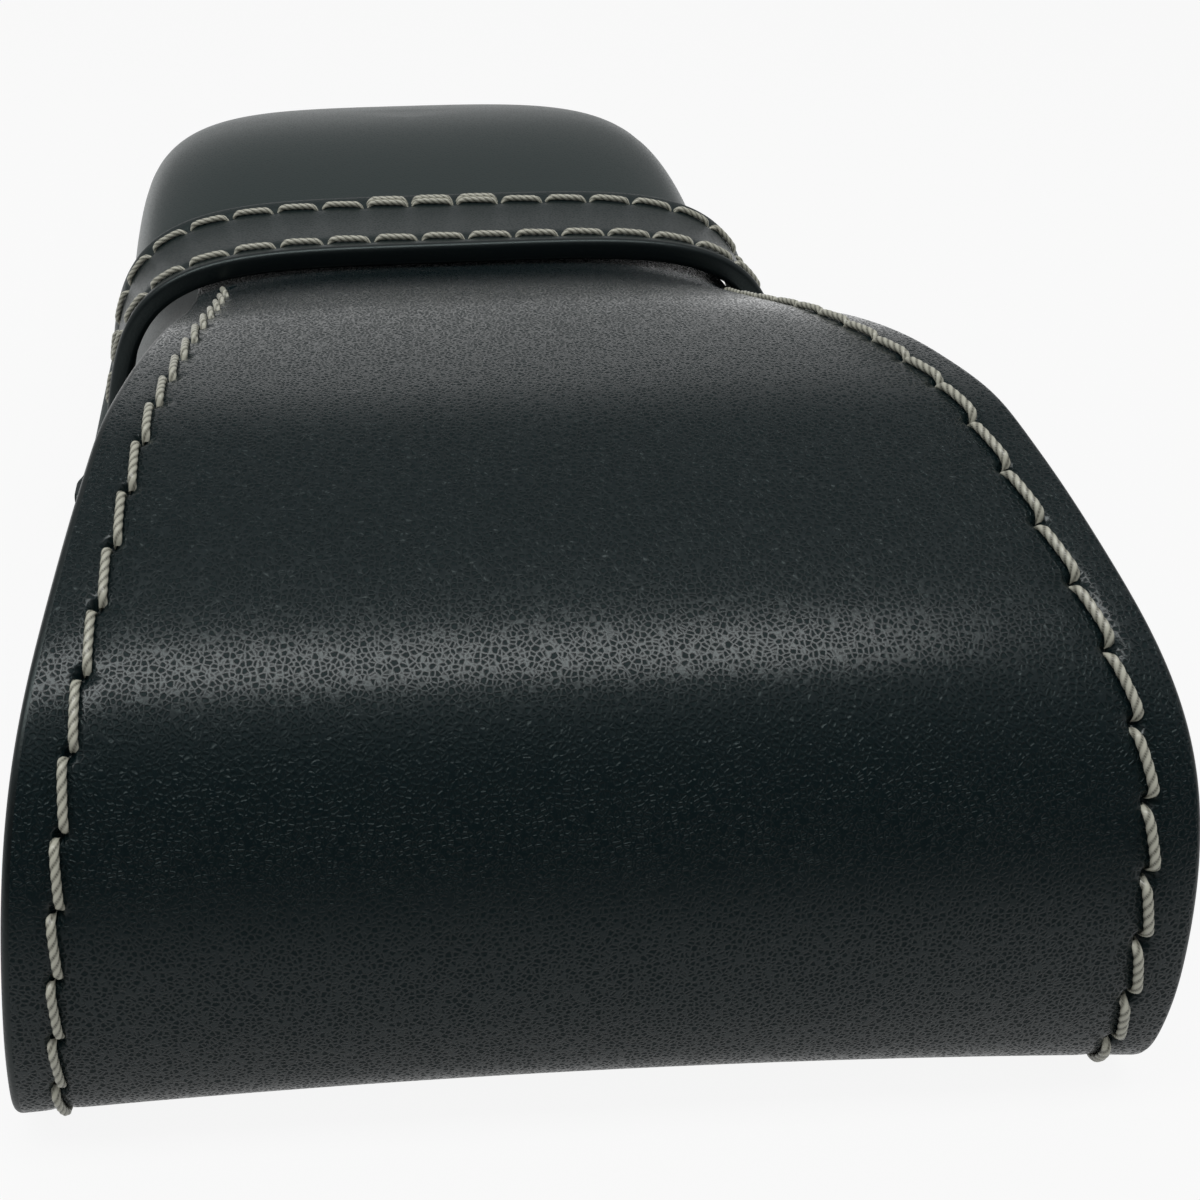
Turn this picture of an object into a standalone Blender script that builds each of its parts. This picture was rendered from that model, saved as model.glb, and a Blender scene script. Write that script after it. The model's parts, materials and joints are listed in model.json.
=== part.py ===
"""Three-pen leather case with a moulded front, a fold-over flap and a fixed strap.

The closed case lies on its back panel. +Y runs from the flap's fold to the closed far end, +X runs across
the case and +Z is up. The world origin is under the middle of the closed case. Lengths are in metres.
Inside the functions y is counted from the outside of the flap's front, and to_world moves it to the origin.
"""

import math

import bmesh
import bpy
from mathutils import Vector

# Overall sizes
CASE_LENGTH = 0.155
CASE_WIDTH = 0.079
FLAP_HEIGHT = 0.0355
crest_height_share = 0.873

# Leather, board and lining thicknesses, and the gap between touching layers
PANEL_LEATHER = 0.0012
SHELL_LEATHER = 0.0014
STRAP_LEATHER = 0.0010
BACK_BOARD = 0.0008
FRONT_BOARD = 0.0007
BACK_LINING = 0.0006
FRONT_LINING = 0.0005
FLAP_LINING = 0.0007
STRAP_LINING = 0.0007
DIVIDER_LEATHER = 0.0012
LAYER_GAP = 0.0003

# Body of the case
MOUTH_Y = 0.046
SEAM_FLANGE = 0.005
END_ROUNDING = 0.037
WAIST_EXPONENT = 4.0
BODY_EXPONENT = 4.4
PLAN_EXPONENT = 3.2
BODY_SWELL = 0.022
mouth_height_share = 0.87
waist_height_share = 0.815
tail_height_share = 0.80
mouth_width_share = 0.955
waist_width_share = 0.895

# Strap across the body
STRAP_FRONT_Y = 0.074
STRAP_WIDTH = 0.014
STRAP_SIDE_ROOM = 0.0002
STRAP_EXPONENT = 4.5
STRAP_STITCH_MARGIN = 0.0022

# Flap and tongue
FOLD_RADIUS = 0.005
fold_width_share = 0.904
tongue_width_share = 0.69
TONGUE_UNDER_STRAP = 0.0122
TONGUE_CORNER = 0.008
CREST_Y = 0.032
FLAP_STITCH_MARGIN = 0.0031
LINING_INSET = 0.0004
taper_bow_share = 1.3
crown_start_share = 0.62
flap_rise_shares = (
    (0.05, 0.53),
    (0.14, 0.70),
    (0.29, 0.815),
    (0.53, 0.905),
    (0.78, 0.972),
    (1.0, 1.0),
)
flap_fall_shares = ((0.40, 0.75), (0.70, 0.39))
wall_height_share = 0.30
BEND_CONTROL = 3

# Dividers
DIVIDER_SPACING = 0.0192
DIVIDER_FRONT_Y = 0.050
DIVIDER_END_ROOM = 0.012

# Thread
STITCH_PITCH = 0.0045
THREAD_RADIUS = 0.0003
THREAD_HUMP = 0.0002
SEAM_STITCH_MARGIN = 0.0019
MOUTH_STITCH_MARGIN = 0.0025
THREAD_END_ROOM = 0.002

# Mesh fineness and tolerances
arch_level_shares = (0.0, 0.15, 0.32, 0.5, 0.65, 0.77, 0.86, 0.92, 0.96, 0.985, 0.997, 1.0)
cross_shares = (-1.0, -0.86, -0.66, -0.4, -0.14, 0.14, 0.4, 0.66, 0.86, 1.0)
BODY_ROWS = 9
END_ROWS = 12
STRAP_ROWS = 4
FOLD_ROWS = 3
FRONT_ROWS = 7
TOP_ROWS = 14
TONGUE_ROWS = 5
PANEL_ROWS = 8
DIVIDER_ROWS = 10
SPAN_SAMPLES = 12
EDGE_ROW = 0.0003
MERGE_DISTANCE = 0.000001
NORMAL_STEP = 0.00005
BISECTION_ROUNDS = 40

# Sizes that follow from those above
FLANGE_TOP = PANEL_LEATHER + LAYER_GAP + SHELL_LEATHER
BODY_RISE = crest_height_share * FLAP_HEIGHT - FLANGE_TOP
ROOT_HALF_WIDTH = CASE_WIDTH / 2 - SEAM_FLANGE
FOLD_HALF_WIDTH = fold_width_share * CASE_WIDTH / 2
TONGUE_HALF_WIDTH = tongue_width_share * CASE_WIDTH / 2
END_CENTRE_Y = CASE_LENGTH - END_ROUNDING
STRAP_BACK_Y = STRAP_FRONT_Y + STRAP_WIDTH
STRAP_MIDDLE_Y = STRAP_FRONT_Y + STRAP_WIDTH / 2
FLAP_STACK = PANEL_LEATHER + LAYER_GAP + FLAP_LINING
STRAP_STACK = STRAP_LEATHER + LAYER_GAP + STRAP_LINING
TONGUE_LAYER = LAYER_GAP + FLAP_STACK
STRAP_LAYER = TONGUE_LAYER + LAYER_GAP + STRAP_STACK
STRAP_SIDE_LAYER = LAYER_GAP + STRAP_STACK + STRAP_SIDE_ROOM
BOARD_LAYER = -(SHELL_LEATHER + LAYER_GAP)
LINING_LAYER = BOARD_LAYER - FRONT_BOARD - LAYER_GAP
CAVITY_LAYER = LINING_LAYER - FRONT_LINING - LAYER_GAP
BACK_BOARD_Z = PANEL_LEATHER + LAYER_GAP
BACK_LINING_Z = BACK_BOARD_Z + BACK_BOARD + LAYER_GAP
CAVITY_FLOOR = BACK_LINING_Z + BACK_LINING + LAYER_GAP
TONGUE_TIP_Y = STRAP_FRONT_Y + TONGUE_UNDER_STRAP
THREAD_PROUD = LAYER_GAP + 2 * THREAD_RADIUS + THREAD_HUMP

# Colours as Principled base colour, roughness
FINISHES = {
    "shell_leather": ((0.030, 0.035, 0.038), 0.42),
    "flap_leather": ((0.024, 0.028, 0.031), 0.45),
    "lining_leather": ((0.035, 0.036, 0.037), 0.70),
    "board": ((0.22, 0.19, 0.15), 0.90),
    "thread": ((0.62, 0.58, 0.48), 0.60),
}

parts = None


def clear_scene():
    """Start from an empty scene and make the collection for the case."""
    global parts
    for old in list(bpy.data.objects):
        bpy.data.objects.remove(old, do_unlink=True)
    parts = bpy.data.collections.new("three_pen_case")
    bpy.context.scene.collection.children.link(parts)


def finish_material(node, finish):
    """Give one sub-part its own Principled material."""
    colour, roughness = FINISHES[finish]
    material = bpy.data.materials.new(node)
    material.use_nodes = True
    shader = material.node_tree.nodes["Principled BSDF"]
    shader.inputs["Base Color"].default_value = (*colour, 1.0)
    shader.inputs["Roughness"].default_value = roughness
    shader.inputs["Metallic"].default_value = 0.0
    return material


def to_world(x, y, z):
    """Move a point from the case's own y, counted from the flap's front, to the world origin."""
    return Vector((x, y - ORIGIN_Y, z))


def ease(share):
    """Smooth step from 0 to 1, held outside that range."""
    held = min(max(share, 0.0), 1.0)
    return held * held * (3 - 2 * held)


def eased_through(stations, y):
    """Value at y through (y, value) stations, level at each station."""
    if y <= stations[0][0]:
        return stations[0][1]
    for (low_y, low), (high_y, high) in zip(stations, stations[1:]):
        if y <= high_y:
            return low + (high - low) * ease((y - low_y) / (high_y - low_y))
    return stations[-1][1]


def body_rise(y):
    """Height of the moulded front above its flange: drawn in under the strap, fullest behind it."""
    stations = (
        (MOUTH_Y, mouth_height_share),
        (STRAP_MIDDLE_Y, waist_height_share),
        (STRAP_BACK_Y + BODY_SWELL + SEAM_FLANGE, 1.0),
        (CASE_LENGTH, tail_height_share),
    )
    return BODY_RISE * eased_through(stations, y)


def shoulder_half_width(y):
    """Half width of the moulded front at its shoulders."""
    stations = (
        (MOUTH_Y, mouth_width_share),
        (STRAP_MIDDLE_Y, waist_width_share),
        (STRAP_BACK_Y + BODY_SWELL / 2, 1.0),
    )
    return ROOT_HALF_WIDTH * eased_through(stations, y)


def arch_half_width(y, level, layer):
    """Half width of the front at a share of its height: a superellipse that flares to the seam."""
    exponent = eased_through(
        ((STRAP_BACK_Y, WAIST_EXPONENT), (STRAP_BACK_Y + BODY_SWELL, BODY_EXPONENT)), y
    )
    root = ROOT_HALF_WIDTH + layer
    shoulder = shoulder_half_width(y) + layer
    flared = shoulder + (root - shoulder) * (1 - level) ** 2
    return flared * max(1 - level**exponent, 0.0) ** (1 / exponent)


def plan_radius(x, y, layer):
    """Share of the way from the body's spine to its wall root, 1 at the root."""
    across = abs(x) / (ROOT_HALF_WIDTH + layer)
    if y <= END_CENTRE_Y:
        return across
    along = (y - END_CENTRE_Y) / (END_ROUNDING - SEAM_FLANGE + layer)
    return (across**PLAN_EXPONENT + along**PLAN_EXPONENT) ** (1 / PLAN_EXPONENT)


def arch_height(x, y, layer):
    """Height of a layer of the moulded front over the point x, y."""
    radius = plan_radius(x, y, layer)
    low, high = 0.0, 1.0
    for _ in range(BISECTION_ROUNDS):
        level = (low + high) / 2
        if arch_half_width(y, level, layer) / (ROOT_HALF_WIDTH + layer) > radius:
            low = level
        else:
            high = level
    return FLANGE_TOP + (body_rise(y) + layer) * low


def new_object(node, mesh, finish, hinge=None):
    """Link a sub-part; a moving one hangs on the empty of its joint, with its origin on the axis."""
    piece = bpy.data.objects.new(node, mesh)
    piece.data.materials.append(finish_material(node, finish))
    parts.objects.link(piece)
    if hinge is not None:
        piece.parent = hinge
    return piece


def hinge_empty(name, y, z):
    """Empty on a joint's axis."""
    empty = bpy.data.objects.new(name, None)
    empty.location = to_world(0, y, z)
    empty.empty_display_size = THREAD_END_ROOM
    parts.objects.link(empty)
    return empty


def local_offset(hinge):
    """Where a sub-part's own origin lies in the world."""
    return Vector((0, 0, 0)) if hinge is None else hinge.location.copy()


def sheet(node, rows, thickness, finish, hinge=None, flip=False):
    """Open surface through rows of points, thickened on the side away from its normals."""
    base = local_offset(hinge)
    bm = bmesh.new()
    grid = [[bm.verts.new(point - base) for point in row] for row in rows]
    for near, far in zip(grid, grid[1:]):
        for column in range(len(near) - 1):
            corners = [near[column], near[column + 1], far[column + 1], far[column]]
            if flip:
                corners.reverse()
            bm.faces.new(corners)
    bmesh.ops.remove_doubles(bm, verts=bm.verts, dist=MERGE_DISTANCE)
    bmesh.ops.dissolve_degenerate(bm, edges=bm.edges, dist=MERGE_DISTANCE)
    mesh = bpy.data.meshes.new(node)
    bm.to_mesh(mesh)
    bm.free()
    mesh.shade_smooth()
    piece = new_object(node, mesh, finish, hinge)
    wall = piece.modifiers.new("leather_thickness", "SOLIDIFY")
    wall.thickness = thickness
    wall.offset = -1.0
    wall.use_even_offset = True
    wall.use_quality_normals = True
    return piece


def thread_row(node, places, hinge=None):
    """Row of stitches as one waxed thread, humped at the middle of each stitch.

    Each place is a point on the leather and the leather's normal there, one for each hole and one
    for the middle between two holes.
    """
    base = local_offset(hinge)
    curve = bpy.data.curves.new(node, "CURVE")
    curve.dimensions = "3D"
    curve.bevel_depth = THREAD_RADIUS
    curve.bevel_resolution = 0
    curve.render_resolution_u = 0
    curve.use_fill_caps = True
    spline = curve.splines.new("POLY")
    spline.points.add(len(places) - 1)
    for index, (point, normal) in enumerate(places):
        rise = LAYER_GAP + THREAD_RADIUS
        if index % 2 == 1:
            rise += THREAD_HUMP
        spline.points[index].co = (*(point + normal * rise - base), 1.0)
    return new_object(node, curve, "thread", hinge)


def even_steps(start, end, count):
    """Evenly spaced values from start to end, both included."""
    return [start + (end - start) * step / count for step in range(count + 1)]


def edged_steps(start, end, count):
    """Even steps with one narrow row at each end, so that a thickened edge stands square."""
    return [start] + even_steps(start + EDGE_ROW, end - EDGE_ROW, count) + [end]


def stitch_steps(start, end):
    """Holes and stitch middles along a length, at the thread's pitch."""
    stitches = max(1, round(abs(end - start) / STITCH_PITCH))
    return even_steps(start, end, 2 * stitches)


def panel_half_width(y):
    """Half width of the back panel: narrower at the fold, rounded at the far end."""
    grown = FOLD_HALF_WIDTH + (CASE_WIDTH / 2 - FOLD_HALF_WIDTH) * ease(y / MOUTH_Y)
    if y <= END_CENTRE_Y:
        return grown
    along = min((y - END_CENTRE_Y) / END_ROUNDING, 1.0)
    return CASE_WIDTH / 2 * max(1 - along**PLAN_EXPONENT, 0.0) ** (1 / PLAN_EXPONENT)


def rounded_end_steps(start, end):
    """Y values that crowd towards a rounded end."""
    turns = even_steps(0.0, math.pi / 2, END_ROWS)
    return [start + (end - start) * math.sin(turn) for turn in turns]


def fold_arc(turns):
    """Points of the near fold's outer side, by the angles about the fold's centre."""
    points = []
    for turn in turns:
        y = FOLD_RADIUS + FOLD_RADIUS * math.cos(turn)
        z = FOLD_RADIUS + FOLD_RADIUS * math.sin(turn)
        points.append((y, z))
    return points


FOLD_BOTTOM = -math.pi / 2
FOLD_SEAM = -3 * math.pi / 4
FOLD_TOP = -math.pi
SEAM_TURN = LAYER_GAP / (2 * FOLD_RADIUS)
FOLD_SEAM_Y = FOLD_RADIUS * (1 + math.cos(FOLD_SEAM))
FOLD_SEAM_Z = FOLD_RADIUS * (1 + math.sin(FOLD_SEAM))


def build_back_panel():
    """Back leather, which turns up into the fold, with its board and lining."""
    seam = FOLD_SEAM + SEAM_TURN
    edge = seam + EDGE_ROW / FOLD_RADIUS
    profile = fold_arc([seam] + even_steps(edge, FOLD_BOTTOM, FOLD_ROWS))
    profile += [(y, 0.0) for y in even_steps(FOLD_RADIUS, END_CENTRE_Y, PANEL_ROWS)[1:]]
    profile += [(y, 0.0) for y in rounded_end_steps(END_CENTRE_Y, CASE_LENGTH)[1:]]
    rows = []
    for y, z in profile:
        half = panel_half_width(y)
        rows.append([to_world(-half, y, z), to_world(half, y, z)])
    sheet("back_leather", rows, PANEL_LEATHER, "shell_leather", flip=True)
    flat_insert("back_board", BACK_BOARD_Z, BACK_BOARD, "board", 2 * FOLD_RADIUS)
    flat_insert("back_lining", BACK_LINING_Z, BACK_LINING, "lining_leather", FOLD_RADIUS * 3 / 2)


def flat_insert(node, z, thickness, finish, start_y):
    """Flat layer on the back leather: full width before the mouth, inside the walls behind it."""
    wall = SHELL_LEATHER + LAYER_GAP
    mouth_gap = MOUTH_Y - LAYER_GAP
    inner_width = ROOT_HALF_WIDTH - wall
    inner_end = END_ROUNDING - SEAM_FLANGE - wall
    rows = []
    for y in even_steps(start_y, mouth_gap - SEAM_FLANGE, 2):
        rows.append((y, panel_half_width(y) - SHELL_LEATHER))
    for y in even_steps(mouth_gap, END_CENTRE_Y, 3):
        rows.append((y, inner_width))
    for y in rounded_end_steps(END_CENTRE_Y, END_CENTRE_Y + inner_end)[1:]:
        along = min((y - END_CENTRE_Y) / inner_end, 1.0)
        rows.append((y, inner_width * max(1 - along**PLAN_EXPONENT, 0.0) ** (1 / PLAN_EXPONENT)))
    points = [[to_world(-half, y, z), to_world(half, y, z)] for y, half in rows]
    sheet(node, points, thickness, finish, flip=True)


def shell_stations(layer):
    """Wall roots and spine points round the body: left side, far end, right side."""
    root = ROOT_HALF_WIDTH + layer
    end = END_ROUNDING - SEAM_FLANGE + layer
    side = even_steps(MOUTH_Y, END_CENTRE_Y, BODY_ROWS)
    stations = [((-root, y), (0.0, y)) for y in side]
    for turn in even_steps(math.pi, 0.0, 2 * END_ROWS)[1:-1]:
        across = math.copysign(abs(math.cos(turn)) ** (2 / PLAN_EXPONENT), math.cos(turn))
        along = abs(math.sin(turn)) ** (2 / PLAN_EXPONENT)
        stations.append(((root * across, END_CENTRE_Y + end * along), (0.0, END_CENTRE_Y)))
    stations += [((root, y), (0.0, y)) for y in reversed(side)]
    return stations


def shell_row(foot, spine, layer, first_level):
    """Points up one section of the moulded front, from its wall root to its spine."""
    row = []
    for share in arch_level_shares:
        level = first_level + (1 - first_level) * share
        reach = arch_half_width(foot[1], level, layer) / (ROOT_HALF_WIDTH + layer)
        x = spine[0] + (foot[0] - spine[0]) * reach
        y = spine[1] + (foot[1] - spine[1]) * reach
        row.append(to_world(x, y, FLANGE_TOP + (body_rise(y) + layer) * level))
    return row


def flange_edge(foot, spine):
    """Outer edge of the seam flange beside a wall root."""
    widen = (CASE_WIDTH / 2) / ROOT_HALF_WIDTH
    lengthen = END_ROUNDING / (END_ROUNDING - SEAM_FLANGE)
    x = foot[0] * widen
    y = spine[1] + (foot[1] - spine[1]) * lengthen
    return to_world(x, y, FLANGE_TOP)


def build_front_shell():
    """Moulded front leather with its seam flange, its formed board and its lining."""
    rows = []
    for foot, spine in shell_stations(0.0):
        rows.append([flange_edge(foot, spine)] + shell_row(foot, spine, 0.0, 0.0))
    sheet("front_shell", rows, SHELL_LEATHER, "shell_leather")
    first_level = (CAVITY_FLOOR - FLANGE_TOP) / (BODY_RISE * waist_height_share)
    for node, layer, thickness, finish in (
        ("front_board", BOARD_LAYER, FRONT_BOARD, "board"),
        ("front_lining", LINING_LAYER, FRONT_LINING, "lining_leather"),
    ):
        rows = [shell_row(foot, spine, layer, first_level) for foot, spine in shell_stations(layer)]
        sheet(node, rows, thickness, finish)


def build_dividers():
    """Two upright partitions that make three channels."""
    end_y = CASE_LENGTH - DIVIDER_END_ROOM
    for node, side in (("divider_left", -1), ("divider_right", 1)):
        x = side * DIVIDER_SPACING / 2
        edge = abs(x) + DIVIDER_LEATHER / 2
        rows = []
        for y in even_steps(DIVIDER_FRONT_Y, end_y, DIVIDER_ROWS):
            top = arch_height(edge, y, CAVITY_LAYER)
            rows.append([to_world(x, y, CAVITY_FLOOR), to_world(x, y, top)])
        piece = sheet(node, rows, DIVIDER_LEATHER, "lining_leather")
        piece.modifiers["leather_thickness"].offset = 0.0


def strap_section(y, depth):
    """One row across the strap, from its left foot over the body to its right foot."""
    foot_z = FLANGE_TOP + LAYER_GAP + STRAP_STACK
    rise = FLANGE_TOP + body_rise(y) + STRAP_LAYER - foot_z
    root = ROOT_HALF_WIDTH + STRAP_SIDE_LAYER
    shoulder = shoulder_half_width(y) + STRAP_SIDE_LAYER
    half = [(CASE_WIDTH / 2, foot_z)]
    for level in arch_level_shares:
        flared = shoulder + (root - shoulder) * (1 - level) ** 2
        reach = max(1 - level**STRAP_EXPONENT, 0.0) ** (1 / STRAP_EXPONENT)
        half.append((flared * reach, foot_z + rise * level))
    outer = [(-x, z) for x, z in half] + [(x, z) for x, z in reversed(half[:-1])]
    moved = inset_line(outer, depth) if depth > 0.0 else outer
    return [to_world(x, y, z) for x, z in moved]


def inset_line(line, depth):
    """Line moved inwards, to the right of its own direction, by an even depth."""
    moved = []
    for index, (x, z) in enumerate(line):
        before = line[max(index - 1, 0)]
        after = line[min(index + 1, len(line) - 1)]
        ways = []
        for start, end in ((before, (x, z)), ((x, z), after)):
            length = math.hypot(end[0] - start[0], end[1] - start[1])
            if length > MERGE_DISTANCE:
                ways.append(((end[1] - start[1]) / length, -(end[0] - start[0]) / length))
        mean_x = sum(way[0] for way in ways) / len(ways)
        mean_z = sum(way[1] for way in ways) / len(ways)
        size = mean_x * mean_x + mean_z * mean_z
        moved.append((x + depth * mean_x / size, z + depth * mean_z / size))
    return moved


def build_strap():
    """Strap leather and its lining, with their feet on the seam flange."""
    steps = even_steps(STRAP_FRONT_Y, STRAP_BACK_Y, STRAP_ROWS)
    rows = [strap_section(y, 0.0) for y in steps]
    sheet("strap_leather", rows, STRAP_LEATHER, "flap_leather")
    rows = [strap_section(y, STRAP_LEATHER + LAYER_GAP) for y in steps]
    sheet("strap_lining", rows, STRAP_LINING, "lining_leather")


def spline_through(points):
    """Dense line through control points, by Catmull-Rom spans."""
    line = []
    padded = [points[0]] + list(points) + [points[-1]]
    for span in range(len(points) - 1):
        before, start, end, after = padded[span : span + 4]
        for step in range(SPAN_SAMPLES):
            t = step / SPAN_SAMPLES
            value = []
            for a, b, c, d in zip(before, start, end, after):
                cubic = -a + 3 * b - 3 * c + d
                square = 2 * a - 5 * b + 4 * c - d
                value.append((2 * b + (c - a) * t + square * t**2 + cubic * t**3) / 2)
            line.append(tuple(value))
    line.append(points[-1])
    return line


def flap_controls():
    """Control points of the flap's outer side above the fold, as (y, z)."""
    controls = [(0.0, FOLD_RADIUS), (0.0, wall_height_share * FLAP_HEIGHT)]
    controls += [(CREST_Y * a, FLAP_HEIGHT * b) for a, b in flap_rise_shares]
    tongue_z = FLANGE_TOP + body_rise(STRAP_FRONT_Y) + TONGUE_LAYER
    for a, b in flap_fall_shares:
        y = CREST_Y + (STRAP_FRONT_Y - CREST_Y) * a
        controls.append((y, tongue_z + (FLAP_HEIGHT - tongue_z) * b))
    for y in even_steps(STRAP_FRONT_Y, TONGUE_TIP_Y, 2):
        controls.append((y, FLANGE_TOP + body_rise(y) + TONGUE_LAYER))
    return controls


def flap_profile():
    """Outer side of the flap from the fold's seam to the tongue's tip, and its arc lengths."""
    turns = even_steps(FOLD_SEAM, FOLD_TOP, SPAN_SAMPLES)
    line = fold_arc(turns)[:-1] + spline_through(flap_controls())
    lengths = [0.0]
    for start, end in zip(line, line[1:]):
        lengths.append(lengths[-1] + math.hypot(end[0] - start[0], end[1] - start[1]))
    return line, lengths


PROFILE, PROFILE_LENGTHS = flap_profile()
FLAP_LENGTH = PROFILE_LENGTHS[-1]
FRONT_Y = min(y for y, z in PROFILE) - THREAD_PROUD
ORIGIN_Y = (CASE_LENGTH + FRONT_Y) / 2


def length_at_sample(index):
    """Arc length at a sample of the profile."""
    return PROFILE_LENGTHS[min(index, len(PROFILE_LENGTHS) - 1)]


FOLD_LENGTH = length_at_sample(SPAN_SAMPLES)
BEND_LENGTH = length_at_sample(SPAN_SAMPLES + BEND_CONTROL * SPAN_SAMPLES)
STRAP_LENGTH = length_at_sample(len(PROFILE) - 1 - 2 * SPAN_SAMPLES)


def profile_at(length):
    """Point (y, z) on the flap's outer side at an arc length."""
    held = min(max(length, 0.0), FLAP_LENGTH)
    for index in range(len(PROFILE) - 1):
        low, high = PROFILE_LENGTHS[index], PROFILE_LENGTHS[index + 1]
        if held <= high:
            share = (held - low) / (high - low)
            start, end = PROFILE[index], PROFILE[index + 1]
            return start[0] + (end[0] - start[0]) * share, start[1] + (end[1] - start[1]) * share
    return PROFILE[-1]


def flap_half_width(length):
    """Half width of the flap, which tapers to the tongue and rounds off at its tip."""
    share = min(length / STRAP_LENGTH, 1.0)
    left = (1 - share) * (1 - taper_bow_share * share**2)
    half = TONGUE_HALF_WIDTH + (FOLD_HALF_WIDTH - TONGUE_HALF_WIDTH) * left
    into_corner = length - (FLAP_LENGTH - TONGUE_CORNER)
    if into_corner > 0.0:
        cut = math.sqrt(max(TONGUE_CORNER**2 - into_corner**2, 0.0))
        half -= TONGUE_CORNER - cut
    return half


def flap_point(x, length):
    """Point on the flap's outer side: flat across at the fold, arched like the body at the strap."""
    y, z = profile_at(length)
    crown_start = crown_start_share * STRAP_LENGTH
    over_body = ease((length - crown_start) / (STRAP_LENGTH - crown_start))
    drop = FLANGE_TOP + body_rise(y) + TONGUE_LAYER - arch_height(x, y, TONGUE_LAYER)
    return to_world(x, y, z - drop * over_body)


def flap_normal(x, length):
    """Outward normal of the flap's outer side."""
    low = max(length - NORMAL_STEP, 0.0)
    high = min(length + NORMAL_STEP, FLAP_LENGTH)
    along = flap_point(x, high) - flap_point(x, low)
    across = flap_point(x + NORMAL_STEP, length) - flap_point(x - NORMAL_STEP, length)
    return across.cross(along).normalized()


def flap_rows(steps, depth, inset):
    """Rows across the flap at the given arc lengths, at a depth under its outer side."""
    rows = []
    for length in steps:
        half = flap_half_width(length) - inset
        row = []
        for share in cross_shares:
            x = half * share
            row.append(flap_point(x, length) - flap_normal(x, length) * depth)
        rows.append(row)
    return rows


def build_flap(fold_axis, bend_axis):
    """Flap leather and lining: the front part, the top part and the tongue under the strap."""
    gap = LAYER_GAP / 2
    tongue_start = STRAP_LENGTH - LAYER_GAP * 2
    front = edged_steps(gap, FOLD_LENGTH, FOLD_ROWS)[:-1]
    front += edged_steps(FOLD_LENGTH, BEND_LENGTH - gap, FRONT_ROWS)[1:]
    top = edged_steps(BEND_LENGTH + gap, tongue_start - gap, TOP_ROWS)
    tongue = edged_steps(tongue_start + gap, FLAP_LENGTH - TONGUE_CORNER, 1)[:-1]
    tongue += [FLAP_LENGTH - TONGUE_CORNER + TONGUE_CORNER * math.sin(turn)
               for turn in even_steps(0.0, math.pi / 2, TONGUE_ROWS)]
    for stem, steps, hinge in (
        ("flap_front", front, fold_axis),
        ("flap_top", top, bend_axis),
        ("tongue", tongue, bend_axis),
    ):
        rows = flap_rows(steps, 0.0, 0.0)
        sheet(stem + "_leather", rows, PANEL_LEATHER, "flap_leather", hinge)
        rows = flap_rows(steps, PANEL_LEATHER + LAYER_GAP, LINING_INSET)
        sheet(stem + "_lining", rows, FLAP_LINING, "lining_leather", hinge)


def flap_thread_places(start, end, side):
    """Stitch places along one edge of the flap."""
    places = []
    for length in stitch_steps(start, end):
        x = side * (flap_half_width(length) - FLAP_STITCH_MARGIN)
        places.append((flap_point(x, length), flap_normal(x, length)))
    return places


def build_flap_threads(fold_axis, bend_axis):
    """Edge stitching of the flap, left and right, and the stitches near the strap."""
    tongue_end = STRAP_LENGTH - THREAD_END_ROOM
    for stem, start, end, hinge in (
        ("flap_front", THREAD_END_ROOM, BEND_LENGTH - THREAD_END_ROOM, fold_axis),
        ("flap_top", BEND_LENGTH + THREAD_END_ROOM, tongue_end, bend_axis),
    ):
        for word, side in (("left", -1), ("right", 1)):
            thread_row(stem + "_thread_" + word, flap_thread_places(start, end, side), hinge)


def build_strap_threads():
    """The strap's two rows of stitches."""
    for node, y in (
        ("strap_thread_front", STRAP_FRONT_Y + STRAP_STITCH_MARGIN),
        ("strap_thread_back", STRAP_BACK_Y - STRAP_STITCH_MARGIN),
    ):
        section = [(point.x, point.z) for point in strap_section(y, 0.0)]
        places = []
        for x, z, normal_x, normal_z in walk_line(section, 2 * SEAM_FLANGE):
            places.append((to_world(x, y, z), Vector((normal_x, 0, normal_z))))
        thread_row(node, places)


def walk_line(line, end_room):
    """Stitch places along an (x, z) line, with the normal to the left of its direction."""
    lengths = [0.0]
    for start, end in zip(line, line[1:]):
        lengths.append(lengths[-1] + math.hypot(end[0] - start[0], end[1] - start[1]))
    walked = []
    for length in stitch_steps(end_room, lengths[-1] - end_room):
        index = max(i for i, value in enumerate(lengths[:-1]) if value <= length)
        start, end = line[index], line[index + 1]
        span = lengths[index + 1] - lengths[index]
        share = (length - lengths[index]) / span
        x = start[0] + (end[0] - start[0]) * share
        z = start[1] + (end[1] - start[1]) * share
        walked.append((x, z, -(end[1] - start[1]) / span, (end[0] - start[0]) / span))
    return walked


def build_seam_thread():
    """Stitching round the seam flange, open at the mouth and broken by nothing."""
    half = CASE_WIDTH / 2 - SEAM_STITCH_MARGIN
    end = END_ROUNDING - SEAM_STITCH_MARGIN
    outline = [(-half, y) for y in even_steps(STRAP_BACK_Y + THREAD_END_ROOM, END_CENTRE_Y, BODY_ROWS)]
    for turn in even_steps(math.pi, 0.0, 4 * END_ROWS)[1:-1]:
        across = math.copysign(abs(math.cos(turn)) ** (2 / PLAN_EXPONENT), math.cos(turn))
        along = abs(math.sin(turn)) ** (2 / PLAN_EXPONENT)
        outline.append((half * across, END_CENTRE_Y + end * along))
    outline += [(-x, y) for x, y in reversed(outline[: BODY_ROWS + 1])]
    places = []
    for x, y, _, _ in walk_line(outline, 0.0):
        places.append((to_world(x, y, FLANGE_TOP), Vector((0, 0, 1))))
    thread_row("seam_thread", places)
    for word, side in (("left", -1), ("right", 1)):
        places = []
        for y in stitch_steps(MOUTH_Y + THREAD_END_ROOM, STRAP_FRONT_Y - THREAD_END_ROOM):
            places.append((to_world(side * half, y, FLANGE_TOP), Vector((0, 0, 1))))
        thread_row("mouth_side_thread_" + word, places)


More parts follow.
